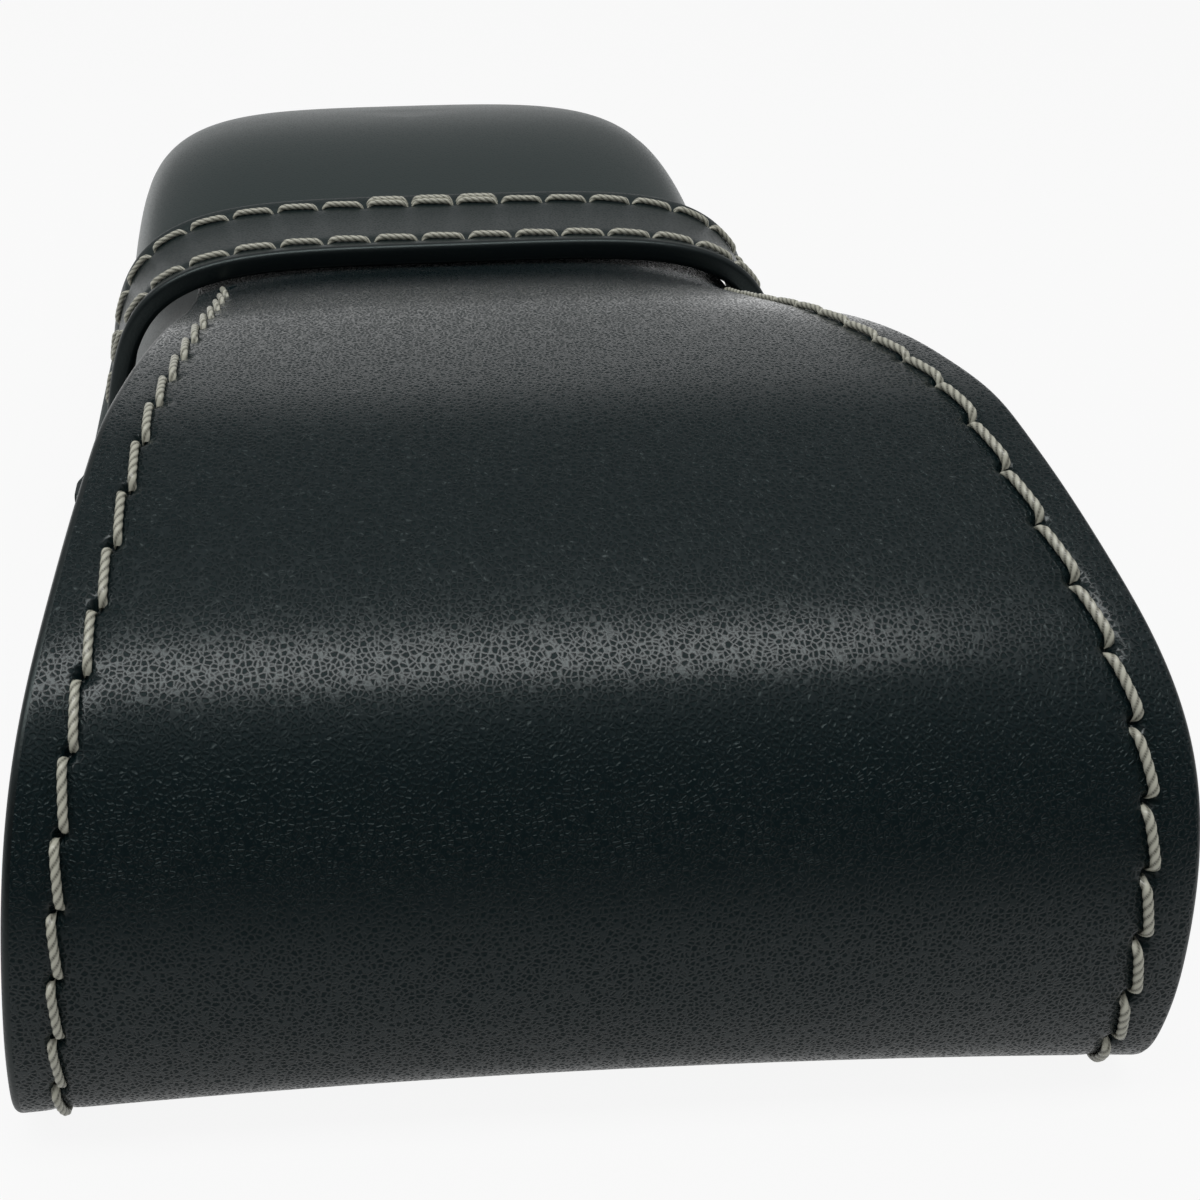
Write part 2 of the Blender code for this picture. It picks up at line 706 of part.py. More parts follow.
def build_mouth_thread():
    """Stitching over the moulded front beside its mouth."""
    y = MOUTH_Y + MOUTH_STITCH_MARGIN
    half = []
    for level in arch_level_shares:
        half.append((arch_half_width(y, level, 0.0), FLANGE_TOP + body_rise(y) * level))
    section = [(-x, z) for x, z in half] + [(x, z) for x, z in reversed(half[:-1])]
    places = []
    for x, z, normal_x, normal_z in walk_line(section, SEAM_FLANGE):
        places.append((to_world(x, y, z), Vector((normal_x, 0, normal_z))))
    thread_row("mouth_thread", places)


def main():
    """Build every sub-part of the case."""
    clear_scene()
    bend_y, bend_z = profile_at(BEND_LENGTH)
    fold_axis = hinge_empty("flap_fold_axis", FOLD_SEAM_Y, FOLD_SEAM_Z)
    bend_axis = hinge_empty("flap_bend_axis", bend_y, bend_z)
    build_back_panel()
    build_front_shell()
    build_dividers()
    build_strap()
    build_flap(fold_axis, bend_axis)
    build_flap_threads(fold_axis, bend_axis)
    build_strap_threads()
    build_seam_thread()
    build_mouth_thread()
    print("fold axis y, z", round(FOLD_SEAM_Y - ORIGIN_Y, 6), round(FOLD_SEAM_Z, 6))
    print("bend axis y, z", round(bend_y - ORIGIN_Y, 6), round(bend_z, 6))


main()
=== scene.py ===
# %% [markdown]
# # Leather case for three pens
#
# A small case of moulded leather holds three pens side by side. A flap comes up over the ends of the pens,
# and its tongue is tucked under a fixed strap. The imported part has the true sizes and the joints, but its
# solids are plain. So each leather that shows is built again here from the same outlines, only finer, with
# rounded painted edges, awl holes, twisted thread and grain. Lengths are in metres.

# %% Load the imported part
import json
import math

import bmesh
import bpy
import numpy as np
from mathutils import Matrix, Vector

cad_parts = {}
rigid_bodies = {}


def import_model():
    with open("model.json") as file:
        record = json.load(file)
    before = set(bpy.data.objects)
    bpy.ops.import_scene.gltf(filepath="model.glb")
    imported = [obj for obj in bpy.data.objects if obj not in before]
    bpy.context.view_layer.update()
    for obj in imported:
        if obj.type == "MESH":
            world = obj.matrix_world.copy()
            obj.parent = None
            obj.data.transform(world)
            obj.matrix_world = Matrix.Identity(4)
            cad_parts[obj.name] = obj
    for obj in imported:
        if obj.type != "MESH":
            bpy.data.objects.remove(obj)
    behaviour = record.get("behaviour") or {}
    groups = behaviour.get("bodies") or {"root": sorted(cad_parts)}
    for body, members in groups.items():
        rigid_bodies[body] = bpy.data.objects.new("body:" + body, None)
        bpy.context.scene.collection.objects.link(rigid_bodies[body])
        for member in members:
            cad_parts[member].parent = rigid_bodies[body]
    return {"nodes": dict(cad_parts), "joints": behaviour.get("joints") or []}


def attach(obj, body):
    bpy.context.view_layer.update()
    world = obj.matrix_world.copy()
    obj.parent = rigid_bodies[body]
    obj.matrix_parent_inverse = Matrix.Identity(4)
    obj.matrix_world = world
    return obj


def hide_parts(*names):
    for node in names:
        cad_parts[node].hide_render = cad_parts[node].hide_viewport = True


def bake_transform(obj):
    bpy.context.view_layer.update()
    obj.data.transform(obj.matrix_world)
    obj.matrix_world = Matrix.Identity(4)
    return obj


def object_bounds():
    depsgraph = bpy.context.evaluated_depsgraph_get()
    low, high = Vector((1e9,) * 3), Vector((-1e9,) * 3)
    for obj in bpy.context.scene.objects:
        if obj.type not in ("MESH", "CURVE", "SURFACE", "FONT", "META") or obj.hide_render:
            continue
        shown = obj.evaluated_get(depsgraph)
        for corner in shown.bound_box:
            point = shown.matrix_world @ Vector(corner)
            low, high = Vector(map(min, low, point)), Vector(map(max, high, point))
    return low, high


MM = 0.001

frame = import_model()
cad_low, cad_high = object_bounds()
print("packed part from", [round(v / MM, 2) for v in cad_low], "to", [round(v / MM, 2) for v in cad_high])

# %% [markdown]
# ## The shape of the body
#
# On the real case the front is wet leather that was pressed over a form and dried hard. Such a shape can be
# sculpted, or blocked out with bevelled boxes. A few formulas give it here, because the strap, the flap, the
# lining and the stitches all lie on it, and can then ask for its height at any place. A cross-section is a
# superellipse, a rounded box whose exponent makes the corners fuller or softer. It flares at its foot into
# the flange that is sewn, and it is drawn in where the strap is pulled tight. Inside these functions y is
# counted from the front of the flap.

# %% Sizes of the body
CASE_LENGTH = 155 * MM
CASE_HALF = 39.5 * MM
END_ROUNDING = 37 * MM
END_CENTRE = CASE_LENGTH - END_ROUNDING
FLANGE = 5 * MM
FLANGE_TOP = 2.9 * MM
ROOT_HALF = CASE_HALF - FLANGE
BODY_RISE = 31 * MM - FLANGE_TOP
MOUTH_Y = 46 * MM
STRAP_FRONT = 74 * MM
STRAP_BACK = 88 * MM
STRAP_MIDDLE = (STRAP_FRONT + STRAP_BACK) / 2
ORIGIN_Y = CASE_LENGTH - cad_high.y
print("origin lies", round(ORIGIN_Y / MM, 3), "mm behind the front of the flap")

# %% Height and width along the body
FULL_HEIGHT_Y = STRAP_BACK + 27 * MM
FULL_WIDTH_Y = STRAP_BACK + 11 * MM


def ease(share):
    """From 0 to 1 with a soft start and a soft end."""
    held = np.clip(share, 0.0, 1.0)
    return held * held * (3 - 2 * held)


def eased_through(marks, y):
    """A value that passes softly through marks of (place, value)."""
    y = np.asarray(y, float)
    value = np.full(y.shape, marks[0][1], float)
    for (low_y, low), (high_y, high) in zip(marks, marks[1:]):
        value = np.where(y > low_y, low + (high - low) * ease((y - low_y) / (high_y - low_y)), value)
    return value


def body_rise(y):
    """Height of the crest above the flange: low under the strap, full behind it."""
    marks = ((MOUTH_Y, 0.87), (STRAP_MIDDLE, 0.815), (FULL_HEIGHT_Y, 1.0), (CASE_LENGTH, 0.80))
    return BODY_RISE * eased_through(marks, y)


def shoulder_half(y):
    """Half width above the flare: narrow under the strap, full behind it."""
    marks = ((MOUTH_Y, 0.955), (STRAP_MIDDLE, 0.895), (FULL_WIDTH_Y, 1.0))
    return ROOT_HALF * eased_through(marks, y)


for word, y in (("mouth", MOUTH_Y), ("strap", STRAP_MIDDLE), ("fullest place", FULL_HEIGHT_Y)):
    print("crest at the", word, "is", round(float(FLANGE_TOP + body_rise(y)) / MM, 1), "mm high")

# %% Arch of a cross-section
END_POWER = 3.2
HALVINGS = 32


def arch_half(y, level, layer):
    """Half width of the arch at a share of its height, with a layer of leather on it."""
    root = ROOT_HALF + layer
    shoulder = shoulder_half(y) + layer
    flared = shoulder + (root - shoulder) * (1 - level) ** 2
    squareness = eased_through(((STRAP_BACK, 4.0), (STRAP_BACK + 22 * MM, 4.4)), y)
    return flared * np.maximum(1 - level**squareness, 0.0) ** (1 / squareness)


def arch_height(x, y, layer):
    """Height above the table at (x, y). The flare can't be turned round, so it is found by halving."""
    root = ROOT_HALF + layer
    across = np.abs(x) / root
    along = np.maximum(y - END_CENTRE, 0.0) / (END_ROUNDING - FLANGE + layer)
    radius = (across**END_POWER + along**END_POWER) ** (1 / END_POWER)
    low, high = np.zeros_like(radius), np.ones_like(radius)
    for _ in range(HALVINGS):
        level = (low + high) / 2
        above = arch_half(y, level, layer) / root > radius
        low, high = np.where(above, level, low), np.where(above, high, level)
    return FLANGE_TOP + (body_rise(y) + layer) * low


def stack(x, y, z):
    """Points in the part's own frame, from y counted from the front of the flap."""
    return np.stack(np.broadcast_arrays(x, y - ORIGIN_Y, z), axis=-1)


half_way = float(arch_half(STRAP_MIDDLE, 0.5, 0.0))
print("half way up under the strap the body is", round(2 * half_way / MM, 1), "mm wide")

# %% [markdown]
# ## Lines and grids
#
# Every leather of the case is a sheet. A sheet can be a coarse cage under a subdivision modifier, but the
# holes and grooves of the stitches are finer than such a cage could hold. So rows of points are worked out
# over the sheet, and the mesh of the grid operator is laid through them. The lines are first spaced out
# evenly and smoothed a little, because thick leather never takes a sharp corner.

# %% Lines
def lengths_along(line):
    """Length from the start of a line to each of its points."""
    steps = np.linalg.norm(np.diff(line, axis=0), axis=1)
    return np.concatenate([[0.0], np.cumsum(steps)])


def between(values, lengths, places):
    """Values known at some lengths along a line, at other places on it."""
    return np.stack([np.interp(places, lengths, values[:, k]) for k in range(values.shape[1])], axis=1)


def sample(line, places):
    return between(line, lengths_along(line), places)


def even(line, count):
    """The same line with evenly spaced points."""
    return sample(line, np.linspace(0, lengths_along(line)[-1], count))


def smoothed(line, reach, count=900):
    """A line averaged with its neighbours within a reach, its ends held by turning them over."""
    step = lengths_along(line)[-1] / count
    dense = even(line, count)
    half = max(int(3 * reach / step), 1)
    kernel = np.exp(-0.5 * (np.arange(-half, half + 1) * step / reach) ** 2)
    kernel /= kernel.sum()
    before = 2 * dense[0] - dense[half:0:-1]
    after = 2 * dense[-1] - dense[-2 : -half - 2 : -1]
    padded = np.concatenate([before, dense, after])
    return np.stack([np.convolve(padded[:, k], kernel, "valid") for k in range(line.shape[1])], axis=1)


corner = smoothed(np.array([(0.0, 0.0), (0.1, 0.0), (0.1, 0.1)]), 1 * MM)
print("smoothing takes", round((0.2 - lengths_along(corner)[-1]) / MM, 2), "mm off a square corner")

# %% Directions off a surface
def unit(vectors):
    return vectors / np.maximum(np.linalg.norm(vectors, axis=-1, keepdims=True), 1e-12)


def grid_normals(points):
    """Directions off a grid of points, outwards where rows run along y and columns across x."""
    return unit(np.cross(np.gradient(points, axis=1), np.gradient(points, axis=0)))


def path_normals(path):
    """Directions off a path that crosses the case from left to right."""
    tangent = np.gradient(path, axis=0)
    return unit(np.stack([-tangent[:, 2], np.zeros(len(path)), tangent[:, 0]], axis=1))


# %% Grids and pieces
MERGE = 0.002 * MM


def add_grid(bm, points, flat=None, layer=None, slots=None):
    """Grid laid through an array of points, with a flat coordinate kept at each vertex for the grain."""
    rows, columns = points.shape[:2]
    made = bmesh.ops.create_grid(bm, x_segments=columns - 1, y_segments=rows - 1, size=1.0)["verts"]
    place = {}
    for vert in made:
        row = round((vert.co.y + 1) / 2 * (rows - 1))
        column = round((vert.co.x + 1) / 2 * (columns - 1))
        place[vert] = (row, column)
    for vert, (row, column) in place.items():
        vert.co = points[row, column]
        if layer is not None:
            vert[layer] = flat[row, column].tolist()
    if slots is not None:
        for face in {face for vert in made for face in vert.link_faces}:
            face.material_index = slots[min(place[vert][1] for vert in face.verts)]


def new_piece(name, bm, materials, body=None):
    """Object made from a bmesh, riding on a body of the part where one is named."""
    bmesh.ops.remove_doubles(bm, verts=bm.verts, dist=MERGE)
    mesh = bpy.data.meshes.new(name)
    bm.to_mesh(mesh)
    bm.free()
    mesh.shade_smooth()
    piece = bpy.data.objects.new(name, mesh)
    bpy.context.scene.collection.objects.link(piece)
    for material in materials:
        mesh.materials.append(material)
    if body is not None:
        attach(piece, body)
    print(name, "has", len(mesh.polygons), "faces")
    return piece


# %% [markdown]
# ## Grain
#
# Seen from close by, the flap's leather is a net of fine raised ridges round small pits. A photograph of
# leather could carry it, but would have to be laid out on every piece and would blur near the camera.
# A texture of cells makes the same net at any size: the distance to the nearest cell's edge is small on the
# ridges and large in the pits. A little noise bends the cells, roughens the ridges and lets the grain come
# and go over the hide. It is a node group, so that all the leathers share it, each with its own strength.
# It gives the bumped normal, and the ridges as a mask from 0 to 1.

# %% Node helpers
def math_node(tree, operation, a, b):
    node = tree.nodes.new("ShaderNodeMath")
    node.operation = operation
    for slot, value in enumerate((a, b)):
        if isinstance(value, bpy.types.NodeSocket):
            tree.links.new(value, node.inputs[slot])
        else:
            node.inputs[slot].default_value = value
    return node.outputs[0]


def noise(tree, vector, scale):
    node = tree.nodes.new("ShaderNodeTexNoise")
    node.inputs["Scale"].default_value = scale
    tree.links.new(vector, node.inputs["Vector"])
    return node


def map_range(tree, value, source, target, way="LINEAR"):
    """A value taken from one range to another and held at its ends."""
    node = tree.nodes.new("ShaderNodeMapRange")
    node.interpolation_type = way
    for label, number in zip(("From Min", "From Max", "To Min", "To Max"), (*source, *target)):
        node.inputs[label].default_value = number
    tree.links.new(value, node.inputs["Value"])
    return node.outputs[0]


# %% Leather grain
CELLS_PER_METRE = 2900.0
WARP_NOISE, FINE_NOISE, BROAD_NOISE = 1500.0, 5200.0, 160.0
WARP = 0.22 * MM
RIDGE_TO_PIT = (0.05, 0.30)
GRAIN_DEPTH = 0.06 * MM
FINE_SHARE = 0.3
PATCH_SPREAD, PATCH_LEAST = 0.5, 0.72

grain = bpy.data.node_groups.new("leather_grain", "ShaderNodeTree")
grain.interface.new_socket("Vector", in_out="INPUT", socket_type="NodeSocketVector")
strength = grain.interface.new_socket("Strength", in_out="INPUT", socket_type="NodeSocketFloat")
strength.default_value = 1.0
grain.interface.new_socket("Normal", in_out="OUTPUT", socket_type="NodeSocketVector")
grain.interface.new_socket("Ridge", in_out="OUTPUT", socket_type="NodeSocketFloat")
grain_in = grain.nodes.new("NodeGroupInput")
grain_out = grain.nodes.new("NodeGroupOutput")
hide_place = grain_in.outputs["Vector"]

warped = grain.nodes.new("ShaderNodeVectorMath")
warped.operation = "MULTIPLY_ADD"
grain.links.new(noise(grain, hide_place, WARP_NOISE).outputs["Color"], warped.inputs[0])
warped.inputs[1].default_value = (WARP, WARP, WARP)
grain.links.new(hide_place, warped.inputs[2])
cells = grain.nodes.new("ShaderNodeTexVoronoi")
cells.feature = "DISTANCE_TO_EDGE"
cells.inputs["Scale"].default_value = CELLS_PER_METRE
grain.links.new(warped.outputs[0], cells.inputs["Vector"])
ridges = map_range(grain, cells.outputs["Distance"], RIDGE_TO_PIT, (1.0, 0.0), "SMOOTHSTEP")

rough = math_node(grain, "MULTIPLY", noise(grain, hide_place, FINE_NOISE).outputs[0], FINE_SHARE)
patches = math_node(grain, "MULTIPLY", noise(grain, hide_place, BROAD_NOISE).outputs[0], PATCH_SPREAD)
patches = math_node(grain, "ADD", patches, PATCH_LEAST)
bump = grain.nodes.new("ShaderNodeBump")
bump.inputs["Distance"].default_value = GRAIN_DEPTH
grain.links.new(math_node(grain, "ADD", ridges, rough), bump.inputs["Height"])
grain.links.new(math_node(grain, "MULTIPLY", patches, grain_in.outputs["Strength"]), bump.inputs["Strength"])
grain.links.new(bump.outputs[0], grain_out.inputs["Normal"])
grain.links.new(ridges, grain_out.inputs["Ridge"])
print("grain: one cell is about", round(1 / CELLS_PER_METRE / MM, 2), "mm wide")

# %% [markdown]
# ## Leather and edge paint
#
# All the leather is dyed nearly black with a cool tint. What sets the pieces apart is their finish. The flap
# has the strongest grain, and hands have polished its ridges, so these are smooth under a thin coat while
# the pits stay dull. The strap and the body were stretched, which flattens the grain, and the linings are
# matt. One function makes them all. Values that are the same all over are set on the shader itself, and
# only roughness, coat and normal follow the grain. On the flap and the strap the grain reads a flat
# coordinate that is kept in the mesh, so that it lies in the bent sheet as it lay in the hide.

# %% Leather
COOL_GLOSS = (0.84, 1.0, 0.98, 1.0)
COAT_SPREAD = 0.04


def principled(name, colour, roughness):
    material = bpy.data.materials.new(name)
    material.use_nodes = True
    shader = material.node_tree.nodes["Principled BSDF"]
    shader.inputs["Base Color"].default_value = (*colour, 1.0)
    shader.inputs["Roughness"].default_value = roughness
    return material, shader


def attribute(tree, name):
    node = tree.nodes.new("ShaderNodeAttribute")
    node.attribute_name = name
    return node


def leather(name, colour, ridge, pit, shine, strength, hide=True, coat=0.0):
    """Grained leather: the roughness on the ridges and in the pits, the gloss, and the depth of the grain."""
    material, shader = principled(name, colour, ridge)
    shader.inputs["Specular IOR Level"].default_value = shine
    shader.inputs["Specular Tint"].default_value = COOL_GLOSS
    shader.inputs["Coat Roughness"].default_value = ridge + COAT_SPREAD
    tree = material.node_tree
    place = attribute(tree, "hide") if hide else tree.nodes.new("ShaderNodeTexCoord")
    group = tree.nodes.new("ShaderNodeGroup")
    group.node_tree = grain
    group.inputs["Strength"].default_value = strength
    tree.links.new(place.outputs["Vector" if hide else "Object"], group.inputs["Vector"])
    tree.links.new(group.outputs["Normal"], shader.inputs["Normal"])
    ranges = {"Roughness": (pit, ridge)}
    if coat:
        ranges["Coat Weight"] = (0.0, coat)
    for socket, span in ranges.items():
        tree.links.new(map_range(tree, group.outputs["Ridge"], (0.0, 1.0), span), shader.inputs[socket])
    return material


BLACK_FLAP = (0.0026, 0.0085, 0.0102)
BLACK_STRAP = (0.0040, 0.0095, 0.0105)
BLACK_BODY = (0.0040, 0.0105, 0.0110)
BLACK_LINING = (0.012, 0.014, 0.015)
BLACK_PAINT = (0.003, 0.005, 0.006)
flap_leather = leather("flap_leather", BLACK_FLAP, 0.17, 0.48, shine=0.19, strength=1.0, coat=0.48)
strap_leather = leather("strap_leather", BLACK_STRAP, 0.34, 0.45, shine=0.48, strength=0.2)
body_leather = leather("body_leather", BLACK_BODY, 0.33, 0.42, shine=0.85, strength=0.12, hide=False)
lining_leather = leather("lining_leather", BLACK_LINING, 0.55, 0.6, shine=0.5, strength=0.25, hide=False)
flap_lining = leather("flap_lining", BLACK_LINING, 0.55, 0.6, shine=0.5, strength=0.25)
edge_paint = leather("edge_paint", BLACK_PAINT, 0.32, 0.42, shine=0.5, strength=0.08, hide=False)
for finish in (flap_leather, strap_leather, body_leather, lining_leather, flap_lining, edge_paint):
    print("finish:", finish.name)

# %% [markdown]
# ## Thread
#
# The thread is thick, waxed and beige, and twisted from three plies. The twist is real geometry, and each
# vertex keeps how far out it lies. A colour ramp on that number paints shade into the grooves just where
# they are, darker than the geometry shades them, which a pattern laid over the thread could miss.

# %% Thread colour
# Painted shade: the groove colour darkens the thread where shade falls between the plies.
GROOVE, PAINTED_GROOVE_SHADE = 0.30, (0.125, 0.124, 0.10, 1.0)
CROWN, CROWN_COLOUR = 0.85, (0.485, 0.483, 0.405, 1.0)

thread, thread_shader = principled("thread", (0.40, 0.40, 0.335), 0.27)
shade = thread.node_tree.nodes.new("ShaderNodeValToRGB")
for stop, place, colour in zip(shade.color_ramp.elements, (GROOVE, CROWN), (PAINTED_GROOVE_SHADE, CROWN_COLOUR)):
    stop.position = place
    stop.color = colour
thread.node_tree.links.new(attribute(thread.node_tree, "ply").outputs["Fac"], shade.inputs[0])
thread.node_tree.links.new(shade.outputs[0], thread_shader.inputs["Base Color"])
print("thread goes from", PAINTED_GROOVE_SHADE[:3], "in its grooves to", CROWN_COLOUR[:3])

# %% [markdown]
# ## Stitches
#
# The seams are saddle stitched. The thread comes up out of one slanted awl hole, lies on the leather and
# dives into the next. One modelled stitch could be copied along the seam, but it would stand off the leather
# where the leather bends. So each stitch is its own short tube that follows the surface, with the plies
# wound round it and its ends sunk, set at a small slant to the seam.

# %% Stitch rows
PITCH = 4.55 * MM
THREAD_RADIUS = 0.275 * MM
LAY = 2.1 * MM
PLIES = 3
CORE, PLY_HEIGHT, PLY_ROUND = 0.80, 0.24, 0.7
HOLE_GAP = 0.03
LIFT = 0.17 * MM
SLANT = 0.24 * MM
DIVE = 0.80 * MM
DIVE_POWER = 7


def stitch_row(name, path, normals, holes, rings=34, sides=21, lift=LIFT, slant=SLANT):
    """Twisted stitches along a path on the leather. The holes are lengths along that path."""
    along = lengths_along(path)
    bm = bmesh.new()
    # How far out each vertex lies, read by the thread's painted groove shade.
    ply = bm.verts.layers.float.new("ply")
    around = np.linspace(0, 2 * math.pi, sides + 1)
    share = np.linspace(0, 1, rings)
    rise = lift - DIVE * np.abs(2 * share - 1) ** DIVE_POWER
    aslant = slant * (1 - 2 * share)
    for first, second in zip(holes, holes[1:]):
        places = first + (second - first) * (HOLE_GAP + (1 - 2 * HOLE_GAP) * share)
        centre = sample(path, places)
        normal = unit(between(normals, along, places))
        side = np.cross(normal, unit(np.gradient(centre, axis=0)))
        centre = centre + normal * rise[:, None] + side * aslant[:, None]
        turn = around[None, :] - (places * 2 * math.pi / LAY)[:, None]
        ridge = np.abs(np.cos(PLIES / 2 * turn)) ** PLY_ROUND
        radius = THREAD_RADIUS * (CORE + PLY_HEIGHT * ridge[:, :, None])
        outwards = np.cos(around)[None, :, None] * side[:, None]
        outwards = outwards + np.sin(around)[None, :, None] * normal[:, None]
        ring = centre[:, None] + radius * outwards
        add_grid(bm, ring[:, ::-1], ridge[:, ::-1], ply)
    return new_piece(name, bm, [thread])


# %% Holes and rounded edges
EDGE_ROUND = 0.55 * MM
EDGE_STEPS = 6
GROOVE_DEPTH = 0.12 * MM


def pressed_in(near_hole, off_line, hole_depth, hole_length, hole_width, groove_width):
    """How far the holes, and more lightly the thread between them, press into the leather."""
    hole = hole_depth * np.exp(-((near_hole / hole_length) ** 2 + (off_line / hole_width) ** 2))
    return hole + GROOVE_DEPTH * np.exp(-((off_line / groove_width) ** 2))


def rounded_edge(thick):
    """Edge of a sheet as (reach outwards, depth), from the outer leather round to the lining."""
    quarter = np.linspace(0, math.pi / 2, EDGE_STEPS)
    upper = [(EDGE_ROUND * math.sin(a), EDGE_ROUND - EDGE_ROUND * math.cos(a)) for a in quarter]
    lower = [(EDGE_ROUND * math.cos(a), thick - EDGE_ROUND + EDGE_ROUND * math.sin(a)) for a in quarter]
    return upper + lower


print("a painted edge goes round in", len(rounded_edge(2 * MM)), "points")

# %% [markdown]
# ## Flap
#
# On the real case the back leather turns up at the near end, rises, bends over the pens and narrows to a
# tongue under the strap. It is two leathers glued together and sewn, with painted edges. Cloth simulation
# would let it hang, but this leather is stiff and keeps the curve that it was shaped to. So one smooth side
# profile carries the whole sheet. A closed section, flat sides and rounded edges, is swept along it, and
# near the strap the sheet passes over into the arch of the body.

# %% Smooth curve through points
def curve_through(points, samples=60):
    """Curve that passes through each point in the direction from the point before to the one after."""
    line = []
    padded = [points[0]] + list(points) + [points[-1]]
    for before, start, end, after in zip(padded, padded[1:], padded[2:], padded[3:]):
        for t in np.linspace(0, 1, samples, endpoint=False):
            line.append([
                (2 * b + (c - a) * t
                 + (2 * a - 5 * b + 4 * c - d) * t**2
                 + (3 * b - a - 3 * c + d) * t**3) / 2
                for a, b, c, d in zip(before, start, end, after)
            ])
    line.append(list(points[-1]))
    return line


# %% Side profile of the flap
FOLD_RADIUS = 5 * MM
FLAT_LEAD = 5 * MM
FLAP_HEIGHT = 35.5 * MM
CREST_Y = 32 * MM
TONGUE_LAYER = 2.5 * MM
TONGUE_STEP = 6.1 * MM
PROFILE_SOFTNESS = 1.6 * MM
UPRIGHT = 0.30
# Points as (share of the way back, share of the height).
OVER_THE_PENS = ((0.05, 0.53), (0.14, 0.70), (0.29, 0.815), (0.53, 0.905), (0.78, 0.972), (1.0, 1.0))
DOWN_TO_THE_STRAP = ((0.40, 0.75), (0.70, 0.39))


def tongue_height(y):
    return float(FLANGE_TOP + body_rise(y) + TONGUE_LAYER)


low_z = tongue_height(STRAP_FRONT)
controls = [(0.0, FOLD_RADIUS), (0.0, UPRIGHT * FLAP_HEIGHT)]
for back_share, up_share in OVER_THE_PENS:
    controls.append((CREST_Y * back_share, FLAP_HEIGHT * up_share))
for back_share, up_share in DOWN_TO_THE_STRAP:
    y = CREST_Y + (STRAP_FRONT - CREST_Y) * back_share
    controls.append((y, low_z + (FLAP_HEIGHT - low_z) * up_share))
for step in range(3):
    y = STRAP_FRONT + step * TONGUE_STEP
    controls.append((y, tongue_height(y)))
lead = [(FOLD_RADIUS + FLAT_LEAD * (1 - share), 0.0) for share in np.linspace(0, 1, 40, endpoint=False)]
fold = [
    (FOLD_RADIUS * (1 + math.cos(turn)), FOLD_RADIUS * (1 + math.sin(turn)))
    for turn in np.linspace(-math.pi / 2, -math.pi, 60, endpoint=False)
]
profile = smoothed(np.array(lead + fold + curve_through(controls)), PROFILE_SOFTNESS, 2400)
profile[:, 1] = np.maximum(profile[:, 1], 0.0)
profile_lengths = lengths_along(profile) - FLAT_LEAD - FOLD_RADIUS * math.pi / 4
print("flap's sheet is", round(lengths_along(profile)[-1] / MM, 1), "mm long from under the fold to its tip")

# %% Places along the flap
FLAP_START, FLAP_END = profile_lengths[0], profile_lengths[-1]


def profile_at(length):
    """(y, z) on the side profile at lengths along the sheet, which count from the middle of the fold."""
    return [np.interp(length, profile_lengths, profile[:, k]) for k in (0, 1)]


risen = profile[:, 1] > FLAP_HEIGHT / 2
STRAP_AT = float(np.interp(STRAP_FRONT, profile[risen, 0], profile_lengths[risen]))
bend_joint = next(joint for joint in frame["joints"] if joint["name"] == "flap_bend")
bend_point = np.array([bend_joint["pos_m"][1] + ORIGIN_Y, bend_joint["pos_m"][2]])
BEND_AT = float(profile_lengths[np.argmin(np.linalg.norm(profile - bend_point, axis=1))])
print("flap from", round(FLAP_START / MM, 1), "to", round(FLAP_END / MM, 1), "mm, strap at",
      round(STRAP_AT / MM, 1), "and bend at", round(BEND_AT / MM, 1))

# %% [markdown]
# The sheet narrows towards the strap in a long hollow curve and ends in a rounded tip. Used leather is never
# quite true: this flap sits a little askew, and its front bows between the two seams. These small faults
# make it look worn in, so each is a named value.

# %% Flap surface
FOLD_HALF = 36.15 * MM
TONGUE_HALF = 27.25 * MM
TONGUE_CORNER = 8 * MM
HOLLOW = 1.3
SKEW = 0.026
FOLD_SKEW = 0.020
FOLD_SKEW_REACH = 7 * MM
SIDE_SHIFT = 0.35 * MM
BOW = 1.4 * MM
BOW_REACH = 8 * MM
OVER_BODY = 0.62


def flap_half(length):
    share = np.clip(length / STRAP_AT, 0.0, 1.0)
    half = TONGUE_HALF + (FOLD_HALF - TONGUE_HALF) * (1 - share) * (1 - HOLLOW * share**2)
    into = np.maximum(length - (FLAP_END - TONGUE_CORNER), 0.0)
    half = half - (TONGUE_CORNER - np.sqrt(np.maximum(TONGUE_CORNER**2 - into**2, 0.0)))
    y = profile_at(length)[0]
    return half + np.where(length < 0, (CASE_HALF - FOLD_HALF) * ease(y / MOUTH_Y), 0.0)


def flap_point(x, length):
    y, z = profile_at(length)
    z = z + BOW * np.maximum(1 - (x / FOLD_HALF) ** 2, 0.0) * np.exp(-((length / BOW_REACH) ** 2))
    slid = FOLD_SKEW * x * ease((length - FLAP_START) / FOLD_SKEW_REACH)
    x = x + SKEW * y + SIDE_SHIFT
    over_body = ease((length - OVER_BODY * STRAP_AT) / ((1 - OVER_BODY) * STRAP_AT))
    drop = FLANGE_TOP + body_rise(y) + TONGUE_LAYER - arch_height(x, y, TONGUE_LAYER)
    return stack(x, y - slid, z - drop * over_body)


def flap_normal(x, length):
    step = 0.05 * MM
    further, nearer = np.minimum(length + step, FLAP_END), np.maximum(length - step, FLAP_START)
    along = flap_point(x, further) - flap_point(x, nearer)
    across = flap_point(x + step, length) - flap_point(x - step, length)
    return unit(np.cross(across, along))


widths = [round(2 * float(flap_half(np.array(length))) / MM, 1) for length in (0.0, STRAP_AT)]
print("flap is", widths[0], "mm wide at the fold and", widths[1], "mm at the strap")

# %% Section of the flap
FLAP_THICK = 2.2 * MM
OUTSIDE, EDGE, INSIDE = 0, 1, 2


